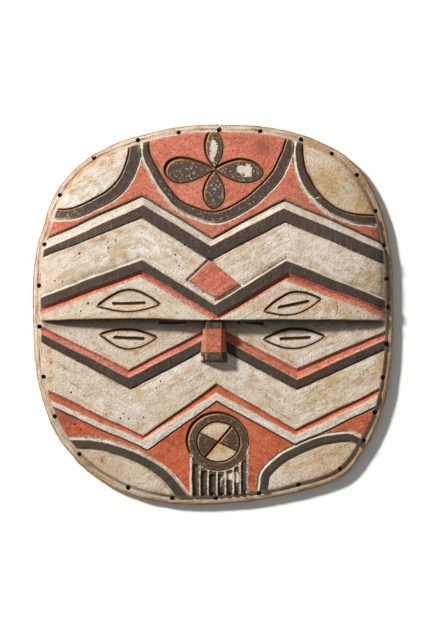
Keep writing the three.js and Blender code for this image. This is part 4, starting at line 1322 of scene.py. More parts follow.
def paint_layout(x, y):
    """Distances in millimetres inside each colour's edge, for every vertex"""
    share = share_of_way(x, y)
    inside_rim = (PAINT_EDGE - share) * MEAN_REACH
    sides = {name: arc_sides(arc, x, y) for name, arc in ARCS.items()}
    at = motif_distances(x, y)
    nose, nose_way = at["nose"], (NOSE_TOP - y) / (NOSE_TOP - NOSE_BOTTOM)
    nose_black = np.maximum(NOSE_BLACK[0] - nose_way, nose_way - NOSE_BLACK[1]) * (NOSE_TOP - NOSE_BOTTOM)
    cut, deep = cut_layout(x, y, sides)
    off = nose | (at["fringe"] > 0)
    arris = NOSE_ARRIS_HALF - np.abs(np.abs(x - NOSE_MIDDLE) - NOSE_FRONT_HALF)
    turn = np.arctan2(y - OUTLINE_CENTRE[1], x - OUTLINE_CENTRE[0])
    groove_way = GROOVE_IN + GROOVE_CHIN * np.clip(-np.sin(turn), 0, 1)
    return {
        "black": np.where(nose, nose_black, np.minimum(black_inside(x, y, at, sides), inside_rim)),
        "red": np.where(nose, ALL_INSIDE, np.minimum(red_inside(x, y, at, sides), inside_rim)),
        "slip": np.where(nose, -FAR, np.minimum(slip_inside(x, y, at, sides), inside_rim)),
        "cut": np.where(nose, arris, np.where(off, -FAR, np.minimum(cut, inside_rim))),
        "deep": np.where(off, 0, np.clip(deep, 0, 1)),
        "shade_seam": np.where(nose, -FAR, np.minimum(painted_shade_inside(x, y, at), inside_rim)),
        "arris": np.where(off, -FAR, np.minimum(rubbed_and_lit_arris(x, y), inside_rim)),
        "ledge_shadow": painted_ledge_shadow(x, y) * np.clip(inside_rim / RIM_FADE_IN, 0, 1),
        "way": (1 - share) * MEAN_REACH,
        "wall": np.where(off, 0, np.clip((inside_rim - WALL_IN) / RIM_FADE_IN, 0, 1)),
        "groove": GROOVE_HALF - np.abs((1 - share) * MEAN_REACH - groove_way),
        "rim_shade": np.clip(RIM_SHADE_MEAN + RIM_SHADE_SWING * np.cos(turn - math.radians(RIM_SHADE_SIDE)), 0, 1),
    }


def flows(x, y, z):
    """Two bent coordinates in millimetres: brush strokes follow the zigzags, rim streaks the edge"""
    upper = between(LINE["bottom_a"], LINE["top_b"], 0.5)
    lower = between(LINE["bottom_c"], LINE["red_d"], 0.5)
    across = y - np.where(y > line_y(LINE["ledge"], x), line_y(upper, x), line_y(lower, x))
    share = np.maximum(share_of_way(x, y), 0.5)
    edge_x = (x - OUTLINE_CENTRE[0]) / share
    edge_y = (y - OUTLINE_CENTRE[1]) / share
    inwards = (1 - share) * MEAN_REACH + z
    return {
        "brush_flow": np.column_stack([x, across, z]),
        "rim_flow": np.column_stack([edge_x * RIM_STRETCH, edge_y * RIM_STRETCH, inwards]),
    }


print("paint layout ready")

# %% [markdown]
# ## Wear, stains and chalk
# Age shows in places that no rule gives: an ochre stain in one lunette, chalky scuffs, bare petals.
# Each is a soft blob with a centre and two reaches, and the blobs add up to one number for
# each kind of wear. Some chalk and faded blobs are painted highlight instead: broad pale ones on the
# right of the face, and pale red on the nose's left side and on the left arm of a red strip.

# %% Places of wear
WEAR = {  # x, y, reach across, reach up, strength
    "ochre": [
        (113, 124, 24, 20, 0.9), (140, 96, 12, 12, 0.8), (150, 30, 14, 9, 0.5), (155, -47, 8, 14, 0.7),
        (118, 7, 34, 8, 0.7), (-118, 122, 10, 34, 0.2), (90, 165, 30, 14, 0.6), (140, 125, 18, 26, 0.6),
        (-110, -152, 40, 12, 0.5), (115, -155, 40, 14, 0.5), (55, -115, 9, 8, 0.5), (150, 76, 7, 7, 0.6),
        (-148, -20, 8, 26, 0.3), (100, -58, 40, 8, 0.35), (-125, 20, 22, 10, 0.35), (-90, -5, 60, 4, 0.3),
        (-18, 118, 6, 5, 0.5), (115, -75, 55, 24, 0.35), (108, -132, 36, 14, 0.45), (5, -118, 17, 17, 1),
        (-110, -132, 24, 12, 0.4),
    ],
    "rust": [
        (-133, 119, 4, 6, 1), (-124, 131, 6, 5, 0.9), (-110, 141, 9, 4, 0.9), (-95, 150, 9, 3, 0.9),
        (-105, 70, 7, 3, 0.8), (-126, 59, 12, 3, 0.6), (-87, 77, 8, 2, 0.6), (-152, 79, 4, 8, 0.9),
        (-104, -136, 4, 4, 1), (-111, -133, 7, 3, 0.8), (-147, 30, 8, 5, 0.4), (-60, -57, 3, 3, 0.4),
        (-96, 139, 4, 5, 0.7), (-80, 52, 4, 4, 0.4), (138, 64, 6, 6, 0.4), (-158, 20, 4, 60, 0.3),
        (-153, -50, 5, 30, 0.5), (105, 160, 26, 6, 0.6), (148, -3, 9, 4, 0.5),
    ],
    # chalky scuffs; the broad blobs at (100, -65), (110, 40) and (120, 0) are painted highlight on the side
    # of the dome turned from the light
    "chalk_and_painted_highlight": [
        (121, 125, 9, 9, 0.6), (-98, 122, 24, 16, 1), (-125, 105, 14, 10, 0.8), (-58, 62, 34, 14, 0.8),
        (-95, 50, 30, 8, 0.6), (135, -111, 5, 4, 1), (60, 66, 30, 14, 0.5), (-95, -82, 26, 12, 0.6),
        (-40, -56, 34, 12, 0.5), (133, -60, 4, 3, 0.9), (5, -98, 9, 5, 0.7), (14, -132, 9, 5, 0.5),
        (-12, -136, 8, 4, 0.5), (104, 2, 9, 4, 0.8), (128, -75, 2.5, 5, 0.8), (45, -58, 22, 8, 0.6),
        (120, 60, 8, 8, 0.6), (88, 150, 9, 8, 0.8), (-60, -70, 20, 10, 0.4), (130, -16, 12, 4, 0.7),
        (20, -42, 40, 7, 0.4), (-10, 60, 30, 14, 0.3), (100, -65, 60, 34, 0.5), (110, 40, 50, 30, 0.5),
        (120, 0, 40, 20, 0.3),
    ],
    "grime": [
        (-130, -115, 15, 3, 0.5), (-90, -146, 5, 4, 0.8), (-118, -140, 12, 3, 0.5), (96, 8, 12, 4, 0.3),
        (133, -64, 3, 4, 0.3), (-97, -165, 12, 8, 0.5), (-50, -172, 34, 5, 0.5), (20, -172, 30, 4, 0.5),
        (110, -160, 34, 6, 0.3), (160, -85, 5, 30, 0.4), (47, 155, 9, 7, 0.9), (25, 163, 14, 4, 0.5),
        (164, 40, 5, 40, 0.4), (140, 32, 18, 8, 0.5), (102, 38, 14, 8, 0.3), (0, -34, 45, 9, 0.2),
        (-138, -95, 8, 9, 0.6), (150, 74, 8, 9, 0.6), (84, 84, 16, 5, 0.3), (-118, 36, 20, 8, 0.3),
        (-45, -96, 20, 8, 0.3), (-112, -134, 26, 22, 0.6), (-140, -90, 14, 24, 0.4),
        (105, 112, 26, 16, 0.7), (-60, 17, 30, 5, 0.4), (-70, 40, 5, 4, 0.3), (-20, -30, 12, 6, 0.3),
        (-117, -75, 8, 6, 0.4),
    ],
    "rubbed": [
        (0.4, 157, 4.8, 8, 1), (-1, 146, 3.6, 6, 0.85), (1, 137, 2.8, 3.4, 0.75), (31.6, 133, 5.6, 9, 1),
        (24, 134.5, 3.4, 5, 0.85), (1, 119, 3, 4, 0.4), (0, 108, 4, 6, 0.3), (-22, 133, 10, 6, 0.3),
        (15, -150, 8, 5, 0.95), (22, -154, 3, 10, 0.7), (7, -158, 2.5, 8, 0.65), (96, 108, 9, 5, 0.6),
        (48, -62, 20, 5, 0.4), (-97, -117, 26, 2.5, 0.4), (-5, -6, 2.5, 3, 0.9), (-10.5, -41, 2, 5, 1),
        (7.5, -10, 1.3, 3.4, 1), (-82, 82, 5, 2.5, 0.5), (120, -30, 4, 3, 0.3), (-61, 25, 9, 3, 0.35),
        (90, 105, 3, 3, 0.5), (-137, 92, 12, 3, 0.5), (130, 78, 12, 2.5, 0.4),
    ],
    # faded red earth; the blobs on the left arm of the red strip under the second band and on the nose's left
    # side are painted highlight where they face the light
    "faded_and_painted_highlight": [
        (-30, 12, 34, 11, 1), (0, -4, 9, 4, 0.8), (-9.5, -24, 2.2, 12, 1), (-120, 2, 40, 5, 0.5),
        (120, 12, 44, 5, 0.4), (-110, -40, 44, 18, 0.3), (-100, -85, 44, 14, 0.4), (-20, 105, 20, 20, 0.3),
        (60, 100, 16, 10, 0.3),
    ],
    "jagged": [
        (-97, -117, 28, 7, 1), (98, 108, 14, 10, 0.7), (52, -60, 26, 7, 0.5), (-92, 108, 34, 16, 0.5),
        (-14, -150, 12, 20, 0.6), (24, -150, 12, 20, 0.8), (110, 70, 40, 12, 0.3), (66, -120, 12, 20, 0.4),
        (-55, 26, 20, 8, 0.5),
    ],
    "speckled": [
        (1.7, 134.8, 44, 40, 1), (1, -10, 9, 5, 0.6), (1, -39, 10, 6, 0.5), (-135, 94, 20, 4, 0.8),
        (5, -118, 26, 26, 0.5), (-70, 25, 30, 8, 0.3),
    ],
    "grained": [
        (-112, 76, 40, 18, 1), (110, 74, 46, 16, 0.45), (-90, -8, 70, 22, 0.25),
    ],
    "crazed": [
        (134, 5, 18, 9, 0.6), (124, 119, 9, 11, 1), (104, 96, 12, 8, 0.7), (96, 60, 30, 10, 0.6),
        (-140, 62, 10, 8, 0.6), (28, -140, 10, 12, 0.6),
    ],
}


def worn(blobs, x, y):
    total = np.zeros_like(x)
    for middle_x, middle_y, reach_x, reach_y, strength in blobs:
        across, up = (x - middle_x) / reach_x, (y - middle_y) / reach_y
        total = total + strength * np.exp(-(across**2) - up**2)
    return np.clip(total, 0, 1)


print({kind: len(blobs) for kind, blobs in WEAR.items()})

# %% [markdown]
# ## The hand of the carver
# A ruler-straight edge looks machined. A slow wander in the plane bends every line by a few tenths
# of a millimetre, and shallow tool marks lift and dip the surface. Both are sums of smooth
# random fields with fixed seeds, so every run carves the same mask.

# %% Wander and tool marks
WANDER_ACROSS = [(31, 0.55, 1), (9, 0.22, 2)]  # size of the bumps, how far they go, seed
WANDER_UP = [(27, 0.55, 3), (8, 0.25, 4)]
CALM_FROM, CALM_OVER = 0.985, 0.05  # the wander dies out here, so that the rim's edge stays put
NIBBLE_FROM = 0.96  # share of the way where the chipping of the edge starts
WIDE_CHIP, NARROW_CHIP = (13, 6), (4.5, 7)  # size and seed
WIDE_BITE, NARROW_BITE, MORE_CHIPS = 0.6, 0.35, 0.1
BROAD_MARKS = [(16, 0.22, 12), (42, 0.35, 13)]
FINE_MARKS = [(2.6, 0.05, 14)]
LONG_STROKES, SHORT_STROKES = (5.5, 0.16, 11), (2.8, 0.07, 15)
LONG_SQUEEZE, SHORT_SQUEEZE, SHORT_SHIFT = 0.25, 0.3, 50  # a squeezed pattern comes out long


def soft_noise(x, y, size, seed):
    """A smooth random field from -1 to 1 whose bumps are about one size apart"""
    u, v = x / size, y / size
    i, j = np.floor(u), np.floor(v)
    a, b = u - i, v - j
    a, b = a * a * (3 - 2 * a), b * b * (3 - 2 * b)
    low = lattice(i, j, seed) * (1 - a) + lattice(i + 1, j, seed) * a
    high = lattice(i, j + 1, seed) * (1 - a) + lattice(i + 1, j + 1, seed) * a
    return (low * (1 - b) + high * b) * 2 - 1


def layered(x, y, layers):
    return sum(reach * soft_noise(x, y, size, seed) for size, reach, seed in layers)


def wander(x, y):
    calm = np.clip((CALM_FROM - share_of_way(x, y)) / CALM_OVER, 0, 1)
    return layered(x, y, WANDER_ACROSS) * calm, layered(x, y, WANDER_UP) * calm


def edge_nibble(x, y):
    """What the way out is scaled by: a little under 1 where the rim's edge is chipped"""
    wide = np.clip(soft_noise(x, y, *WIDE_CHIP) + MORE_CHIPS, 0, 1) * WIDE_BITE
    narrow = np.clip(soft_noise(x, y, *NARROW_CHIP), 0, 1) * NARROW_BITE
    near_edge = np.clip((share_of_way(x, y) - NIBBLE_FROM) / (1 - NIBBLE_FROM), 0, 1)
    return 1 - (wide + narrow) / MEAN_REACH * near_edge


def tool_marks(x, y):
    """Knife strokes that follow the zigzags, over broad dips and a fine roughness"""
    across = flows(x, y, 0 * x)["brush_flow"][:, 1]
    long = layered(x * LONG_SQUEEZE, across, [LONG_STROKES])
    short = layered(x * SHORT_SQUEEZE + SHORT_SHIFT, across, [SHORT_STROKES])
    return long + short + layered(x, y, BROAD_MARKS) + layered(x, y, FINE_MARKS)


print("broad marks are", [size for size, _, _ in BROAD_MARKS], "mm apart")

# %% [markdown]
# ## Paint and marks on every vertex
# The Boolean added vertices of its own, so the layouts are worked out for each vertex of the cut
# block and kept there as attributes, which a material can read by name. That comes before the
# places move, so the paint wanders together with the carving under it.

# %% Attributes on the cut block
WELL_INSIDE = 40  # no attribute needs a larger number
places = np.empty(len(cut_mesh.vertices) * 3, np.float32)
cut_mesh.vertices.foreach_get("co", places)
x, y, z = (places.reshape(-1, 3).astype(float) * MM + FRAME_SHIFT).T
layout = paint_layout(x, y)
for kind, blobs in WEAR.items():
    layout[kind] = worn(blobs, x, y)
for name, values in layout.items():
    attribute = cut_mesh.attributes.new(name, "FLOAT", "POINT")
    attribute.data.foreach_set("value", np.clip(values, -FAR, WELL_INSIDE).astype(np.float32))
for name, vectors in flows(x, y, z).items():
    attribute = cut_mesh.attributes.new(name, "FLOAT_VECTOR", "POINT")
    attribute.data.foreach_set("vector", vectors.astype(np.float32).ravel())
print("attributes:", sorted(layout))

# %% Moving the places
SKIN_DEPTH, SKIN_FADE = 2.5, 1.5  # tool marks move the front only, not the holes' walls below it
LOWEST_MARK = 6
RIM_FADE, RIM_LEAST = 0.02, 0.25  # and they are shallower at the very edge
front = front_height(x, y)
on_skin = np.clip((z - front + SKIN_DEPTH) / SKIN_FADE, 0, 1) * (z > LOWEST_MARK)
shallow_rim = np.clip((1.0 - share_of_way(x, y)) / RIM_FADE, RIM_LEAST, 1)
carved_z = z + tool_marks(x, y) * on_skin * shallow_rim
across, up = wander(x, y)
nibble = edge_nibble(x, y)
carved_x = OUTLINE_CENTRE[0] + (x - OUTLINE_CENTRE[0]) * nibble + across
carved_y = OUTLINE_CENTRE[1] + (y - OUTLINE_CENTRE[1]) * nibble + up
carved = in_metres(np.column_stack([carved_x, carved_y, carved_z]))
carved = np.clip(carved, np.array(cad_box[0]), np.array(cad_box[1]))
cut_mesh.vertices.foreach_set("co", carved.astype(np.float32).ravel())
cut_mesh.update()
print("tool marks reach", round(float(np.abs(carved_z - z).max()), 2), "mm")

# %% [markdown]
# ## The painted face
# The pigments are kaolin, red earth and charcoal, rubbed on dry wood in thin coats. All are dead
# matt. The coats go on in the order a painter used: pale ground, red, black, white slip. Then the
# knife cuts show bare wood. Painted shade darkens the walls turned from the light, the bottoms of
# the cuts, the corners where strips meet and the wood under the brow. A painted highlight
# brightens the walls that face the light. Each edge is a distance plus a little noise.

# %% Patterns of the painted face
tree = painted_tree
place = add(tree, "ShaderNodeTexCoord", give="Object")
mm = add(tree, "ShaderNodeVectorMath", {0: place, 1: (MM, MM, MM)}, operation="MULTIPLY")
brush_flow = add(tree, "ShaderNodeAttribute", give="Vector", attribute_name="brush_flow")
rim_flow = add(tree, "ShaderNodeAttribute", give="Vector", attribute_name="rim_flow")
STRETCHES = {  # a space and how much it is squeezed, so that its patterns come out long
    "even": (mm, (1.0, 1.0, 1.0)),
    "grain": (mm, (1.0, 0.10, 1.0)),
    "stroke": (brush_flow, (0.16, 1.0, 1.0)),
    "rim": (rim_flow, (1.0, 1.0, 1.0)),
}
spaces = {
    name: add(tree, "ShaderNodeVectorMath", {0: source, 1: squeeze}, operation="MULTIPLY")
    for name, (source, squeeze) in STRETCHES.items()
}
KEY_LIGHT_SIDE = (-0.8, 0.6, 0.0)  # the key light's side as seen from above: walls that face it get a painted highlight, walls that face away get painted shade
PATTERNS = {  # space, size in millimetres, detail, roughness
    "grit": ("even", 1.0, 2.0, 0.5),
    "crumb": ("even", 2.2, 3.0, 0.55),
    "patch": ("even", 8.0, 5.0, 0.62),
    "cloud": ("even", 30.0, 4.0, 0.6),
    "fibre": ("grain", 1.5, 4.0, 0.6),
    "brush": ("stroke", 3.2, 5.0, 0.66),
    "bristle": ("stroke", 1.1, 3.0, 0.6),
    "sweep": ("stroke", 10.0, 4.0, 0.6),
    "scratch": ("stroke", 7.0, 1.0, 0.5),
    "speck": ("even", 2.5, 4.0, 0.7),
    "rim_streak": ("rim", 1.3, 3.0, 0.6),
    "rim_cloud": ("rim", 4.0, 4.0, 0.6),
    "pit": ("even", 1.5, 1.0, 0.4),
}
pattern = {}
for name, (space, size_mm, detail, roughness) in PATTERNS.items():
    pattern[name] = add(tree, "ShaderNodeTexNoise", {
        "Vector": spaces[space], "Scale": 1 / size_mm, "Detail": detail, "Roughness": roughness})
CRAZE_SIZE, CRAZE_BEND = 6.5, 9.0  # size of a flake in crazed paint, and how bent its edges are
bend = (CRAZE_BEND, CRAZE_BEND, CRAZE_BEND)
crack = add(tree, "ShaderNodeVectorMath", {0: pattern["patch"], 1: bend}, operation="MULTIPLY")
crack = add(tree, "ShaderNodeVectorMath", {0: mm, 1: crack}, operation="ADD")
pattern["crack"] = add(tree, "ShaderNodeTexVoronoi",
                       {"Vector": crack, "Scale": 1 / CRAZE_SIZE}, feature="DISTANCE_TO_EDGE")
off_middle = add(tree, "ShaderNodeMath", {0: pattern["scratch"], 1: 0.5}, operation="SUBTRACT")
pattern["scratch"] = add(tree, "ShaderNodeMath", {0: off_middle}, operation="ABSOLUTE")
normal = add(tree, "ShaderNodeTexCoord", give="Normal")
pattern["key_light_facing"] = add(tree, "ShaderNodeVectorMath",
                        {0: normal, 1: KEY_LIGHT_SIDE}, "Value", operation="DOT_PRODUCT")
LAYERS = (
    "black", "red", "slip", "cut", "deep", "shade_seam", "groove", "arris", "wall", "ledge_shadow", "way", "rim_shade",
    "ochre", "rust", "chalk_and_painted_highlight", "faded_and_painted_highlight", "grime", "rubbed", "jagged", "speckled", "grained", "crazed",
)
for name in LAYERS:
    pattern[name] = add(tree, "ShaderNodeAttribute", give="Fac", attribute_name=name)
print(len(PATTERNS), "patterns and", len(LAYERS), "layers")

# %% Masks
MASKS = {  # each runs from 0 to 1 as its pattern goes from the first value to the second
    "pale_cloud": ("cloud", 0.40, 0.60),
    "tan_sweep": ("sweep", 0.50, 0.66),
    "pale_brush": ("brush", 0.49, 0.62),
    "brown_brush": ("brush", 0.44, 0.33),
    "brown_bristle": ("bristle", 0.55, 0.68),
    "pale_patch": ("patch", 0.50, 0.60),
    "tan_patch": ("patch", 0.50, 0.38),
    "scratched": ("scratch", 0.010, 0.003),
    "dry_fibre": ("fibre", 0.52, 0.68),
    "deep_fibre": ("fibre", 0.46, 0.34),
    "pale_crumb": ("crumb", 0.53, 0.63),
    "dark_crumb": ("crumb", 0.46, 0.36),
    "dark_grit": ("grit", 0.42, 0.33),
    "pale_grit": ("grit", 0.57, 0.66),
    "fleck": ("speck", 0.575, 0.62),
    "rim_pale": ("rim_streak", 0.50, 0.62),
    "rim_brown": ("rim_streak", 0.48, 0.36),
    "rim_stain": ("rim_cloud", 0.52, 0.64),
    "pitted": ("pit", 0.30, 0.25),
    "crack_line": ("crack", 0.06, 0.02),
    "by_crack": ("crack", 0.15, 0.05),
    # toward and away: painted highlight on walls that face the key light, painted shade on walls that face
    # away from it
    "toward": ("key_light_facing", 0.36, 0.60),
    "away": ("key_light_facing", -0.36, -0.60),
}
PLAIN_MASKS = (
    "wall", "ledge_shadow", "rim_shade", "ochre", "rust", "chalk_and_painted_highlight", "faded_and_painted_highlight", "grime", "speckled", "grained", "crazed",
)
show = {name: pattern[name] for name in PLAIN_MASKS}
show["all"] = 1.0
for name, (source, low, high) in MASKS.items():
    show[name] = add(tree, "ShaderNodeMapRange",
                     {0: pattern[source], 1: low, 2: high}, interpolation_type="SMOOTHSTEP")


def coated(under, coats):
    """Coats laid one over another; each shows where both its masks do, times a strength"""
    for first, second, strength, colour in coats:
        share = add(tree, "ShaderNodeMath", {0: show[first], 1: show[second]}, operation="MULTIPLY")
        share = add(tree, "ShaderNodeMath", {0: share, 1: strength}, operation="MULTIPLY")
        over = srgb(colour) if isinstance(colour, str) else colour
        under = add(tree, "ShaderNodeMix",
                    {0: share, MIX_UNDER: under, MIX_OVER: over}, MIXED, data_type="RGBA")
    return under


print(len(MASKS), "masks")

# %% [markdown]
# ## Pigments and how they aged
# Kaolin has yellowed and turned chalky, the red earth has faded in places, and the black has gone
# brown where the fibres show. Each pigment is a list of coats over one colour. A coat has two masks,
# a strength and a colour, so stains, brush strokes and grit can be changed one by one.

# %% Pigments
ground = coated(srgb("#D2BEA3"), [
    ("pale_cloud", "all", 0.75, "#E0D3C2"),
    ("tan_sweep", "all", 0.65, "#C4A37B"),
    ("grime", "all", 0.5, "#9C8263"),
    ("tan_patch", "all", 0.3, "#BD9F7A"),
    ("pale_patch", "all", 0.25, "#E4DACA"),
    ("pale_brush", "all", 0.35, "#E6DBCC"),
    ("brown_brush", "all", 0.35, "#AC8F69"),
    # chalky scuffs, and painted highlight on the right of the face
    ("chalk_and_painted_highlight", "pale_patch", 0.85, "#EEE9E2"),
    ("chalk_and_painted_highlight", "pale_brush", 0.6, "#F1EDE7"),
    ("ochre", "all", 0.75, "#C59C5E"),
    ("ochre", "tan_patch", 0.4, "#A67C42"),
    ("brown_bristle", "all", 0.2, "#9E8462"),
    ("dark_crumb", "tan_patch", 0.5, "#8F7350"),
    ("rust", "all", 0.4, "#C4905C"),
    ("rust", "tan_patch", 0.9, "#A2652F"),
    ("scratched", "pale_patch", 0.5, "#6E5A43"),
    ("scratched", "tan_sweep", 0.7, "#6E5A43"),
    ("by_crack", "crazed", 0.75, "#EFE8DE"),
    ("crack_line", "crazed", 0.55, "#6E5840"),
    ("dark_grit", "all", 0.35, "#8C7454"),
    ("pale_grit", "all", 0.3, "#EAE4DA"),
])
height_mm = add(tree, "ShaderNodeSeparateXYZ", {0: mm}, "Y")
LOW_FROM, LOW_TO = -45.0, -75.0  # the red earth is stronger in the lower part
show["low"] = add(tree, "ShaderNodeMapRange",
                  {0: height_mm, 1: LOW_FROM, 2: LOW_TO}, interpolation_type="SMOOTHSTEP")
red = coated(srgb("#CB6C54"), [
    ("pale_cloud", "all", 0.5, "#D07C64"),
    ("low", "all", 0.9, "#C45831"),
    ("tan_patch", "all", 0.5, "#AC533C"),
    ("pale_brush", "all", 0.3, "#DB987F"),
    ("brown_brush", "all", 0.45, "#9C4934"),
    # faded red, and a painted highlight on the parts that face the light
    ("faded_and_painted_highlight", "all", 0.6, "#E3A48E"),
    ("faded_and_painted_highlight", "pale_crumb", 0.5, "#EFC3B0"),
    ("dark_crumb", "all", 0.5, "#A04935"),
    ("pale_crumb", "all", 0.42, "#E0A28C"),
    ("low", "pale_crumb", 0.55, "#CB6843"),
    ("low", "tan_patch", 0.55, "#A33C20"),
    ("low", "pale_cloud", 0.4, "#D2764E"),
    ("low", "brown_brush", 0.35, "#963A22"),
    ("ochre", "pale_patch", 0.8, "#B8864E"),
    ("grime", "all", 0.75, "#8C4B3A"),
    ("dark_grit", "all", 0.4, "#7E382A"),
])
black = coated(srgb("#493D34"), [
    ("pale_cloud", "all", 0.5, "#3B322B"),
    ("dry_fibre", "all", 0.3, "#6A5C50"),
    ("dry_fibre", "grained", 0.9, "#8A7864"),
    ("deep_fibre", "all", 0.5, "#2C2724"),
    ("pale_crumb", "all", 0.2, "#6B5848"),
    ("grained", "all", 0.4, "#6E5E4D"),
    ("pale_grit", "all", 0.12, "#83705D"),
    ("speckled", "pale_crumb", 0.5, "#8A705A"),
    ("speckled", "all", 0.35, "#6B4F3F"),
    ("ochre", "all", 0.85, "#543A22"),
    ("fleck", "speckled", 0.9, "#D6C6B0"),
    ("fleck", "all", 0.1, "#A9977F"),
    ("grime", "pale_patch", 0.3, "#6B5743"),
])
white_slip = coated(srgb("#DDD0BE"), [
    ("pale_brush", "all", 0.8, "#EFE9DF"),
    ("tan_patch", "all", 0.4, "#C4AC8C"),
    ("brown_brush", "all", 0.6, "#A98C69"),
    ("dark_crumb", "all", 0.4, "#9A7F60"),
    ("dark_grit", "all", 0.4, "#7F6850"),
])
bare = coated(srgb("#7E552E"), [
    ("dark_crumb", "all", 0.6, "#4E3219"),
    # painted highlight on the walls of the cuts that face the light, painted shade on the walls that face
    # away
    ("toward", "all", 0.85, "#CE9A5C"),
    ("away", "all", 0.9, "#2A1B10"),
    ("pale_grit", "all", 0.2, "#DDB27C"),
])
worn_white = coated(srgb("#D9CDBA"), [
    ("tan_patch", "all", 0.6, "#BBA688"),
    ("dark_grit", "all", 0.5, "#8C7A62"),
])
print("six finishes mixed")

# %% Coats in the painter's order
crumbled = add(tree, "ShaderNodeMath", {0: pattern["crumb"], 1: 1.6, 2: -0.8}, operation="MULTIPLY_ADD")
ragged = add(tree, "ShaderNodeMath", {0: pattern["grit"], 1: 1.2, 2: crumbled}, operation="MULTIPLY_ADD")
ragged = add(tree, "ShaderNodeMath", {0: ragged, 1: 0.6}, operation="SUBTRACT")
loose = add(tree, "ShaderNodeMath", {0: pattern["jagged"], 1: 2.4, 2: 1.0}, operation="MULTIPLY_ADD")
jagged = add(tree, "ShaderNodeMath", {0: ragged, 1: loose}, operation="MULTIPLY")
EDGES = {  # which raggedness, how much of it, and the softness of the edge in millimetres
    "red": (jagged, 1.0, 0.3),
    "black": (jagged, 1.0, 0.25),
    "slip": (jagged, 1.2, 0.35),
    "cut": (ragged, 0.35, 0.3),
    "shade_seam": (ragged, 0.7, 0.4),
    "arris": (ragged, 1.2, 0.5),
    "groove": (ragged, 1.0, 0.9),
}
for name, (raggedness, amount, soft) in EDGES.items():
    inside = add(tree, "ShaderNodeMath",
                 {0: raggedness, 1: amount, 2: pattern[name]}, operation="MULTIPLY_ADD")
    show[name] = add(tree, "ShaderNodeMapRange",
                     {0: inside, 1: -soft, 2: soft}, interpolation_type="SMOOTHSTEP")
BROKEN = {  # a pattern, how much of it, the layer it breaks up, and where the mask is 0 and 1
    # painted shade in the bottom of each cut
    "painted_shade_in_cut": (ragged, 0.25, "deep", 0.35, 0.6),
    "flaked": (pattern["crumb"], 0.9, "rubbed", 1.02, 1.12),
}
for name, (breaking, amount, layer, low, high) in BROKEN.items():
    broken = add(tree, "ShaderNodeMath",
                 {0: breaking, 1: amount, 2: pattern[layer]}, operation="MULTIPLY_ADD")
    show[name] = add(tree, "ShaderNodeMapRange",
                     {0: broken, 1: low, 2: high}, interpolation_type="SMOOTHSTEP")
face = coated(ground, [
    ("red", "all", 1.0, red),
    ("black", "all", 1.0, black),
    ("slip", "all", 1.0, white_slip),
    ("flaked", "all", 1.0, worn_white),
    # the arris is rubbed pale and also carries a painted highlight
    ("arris", "all", 0.45, "#EFC9B4"),
    # painted shade on the walls of the field that face away from the light
    ("away", "wall", 0.5, "#2A1D15"),
    ("cut", "all", 1.0, bare),
    # painted shade in the bottom of each cut
    ("cut", "painted_shade_in_cut", 0.9, "#322012"),
    # painted shade in the corners where one strip meets the next
    ("shade_seam", "all", 0.85, "#33231A"),
])
print("edges:", sorted(EDGES))

# %% [markdown]
# ## The rim
# Hands and a tied collar have rubbed the rim brown, and its pale paint is streaked along the edge.
# It is painted darker towards the lower right, the side turned from the light, which is painted
# shade, and so is the dark in its groove. Its borders are told by the distance from the edge, a little
# ragged.

# %% Rim, side, grime and the painted shadow under the brow
rim_tone = coated(srgb("#DAC5AE"), [
    ("rim_pale", "all", 0.8, "#EDE1D3"),
    ("rim_brown", "all", 0.65, "#9E7852"),
    ("rim_stain", "all", 0.45, "#B58A5E"),
    ("ochre", "all", 0.75, "#B8915F"),
    ("rust", "all", 0.5, "#C08A55"),
    ("rust", "rim_pale", 0.9, "#B4723A"),
    # painted shade on the rim's side that is turned from the light
    ("rim_shade", "all", 0.45, "#A8865A"),
    ("rim_shade", "rim_brown", 0.5, "#6A5033"),
    ("grime", "all", 0.6, "#7D6746"),
    ("dark_grit", "all", 0.4, "#7E6346"),
])
RIM_RAGGED, RIM_WIDTH = 1.3, 7.6
rim_line = add(tree, "ShaderNodeMath",
               {0: ragged, 1: RIM_RAGGED, 2: pattern["way"]}, operation="MULTIPLY_ADD")
from_border = add(tree, "ShaderNodeMath", {0: rim_line, 1: RIM_WIDTH}, operation="SUBTRACT")
from_border = add(tree, "ShaderNodeMath", {0: from_border}, operation="ABSOLUTE")
BORDERS = {  # which distance, and where the mask is 0 and 1
    "on_rim": (rim_line, 8.2, 7.4),
    "border": (from_border, 1.1, 0.3),
    "edge": (rim_line, 1.9, 0.7),
}
for name, (distance, low, high) in BORDERS.items():
    show[name] = add(tree, "ShaderNodeMapRange",
                     {0: distance, 1: low, 2: high}, interpolation_type="SMOOTHSTEP")
face = coated(face, [
    ("on_rim", "all", 1.0, rim_tone),
    ("border", "rim_brown", 0.8, "#8A5A30"),
    # painted shade in the rim's groove, darker on the side turned from the light
    ("groove", "rim_brown", 0.5, "#8C6A48"),
    ("groove", "rim_shade", 0.35, "#4A3826"),
    ("edge", "all", 0.8, "#A06E3C"),
    # painted shade on the edge's side that is turned from the light
    ("edge", "rim_shade", 0.5, "#6B5236"),
    ("edge", "rim_brown", 0.6, "#6E4A2A"),
    ("edge", "rim_pale", 0.45, "#CDB28C"),
    ("edge", "dark_crumb", 0.35, "#5A3F26"),
    ("edge", "pale_patch", 0.5, "#C4A57C"),
    ("grime", "dark_crumb", 0.35, "#6E5B45"),
    # painted shadow under the brow
    ("ledge_shadow", "all", 0.92, "#30281F"),
    ("pitted", "all", 0.6, "#5B4630"),
])
print("whole face:", len(tree.nodes), "nodes")

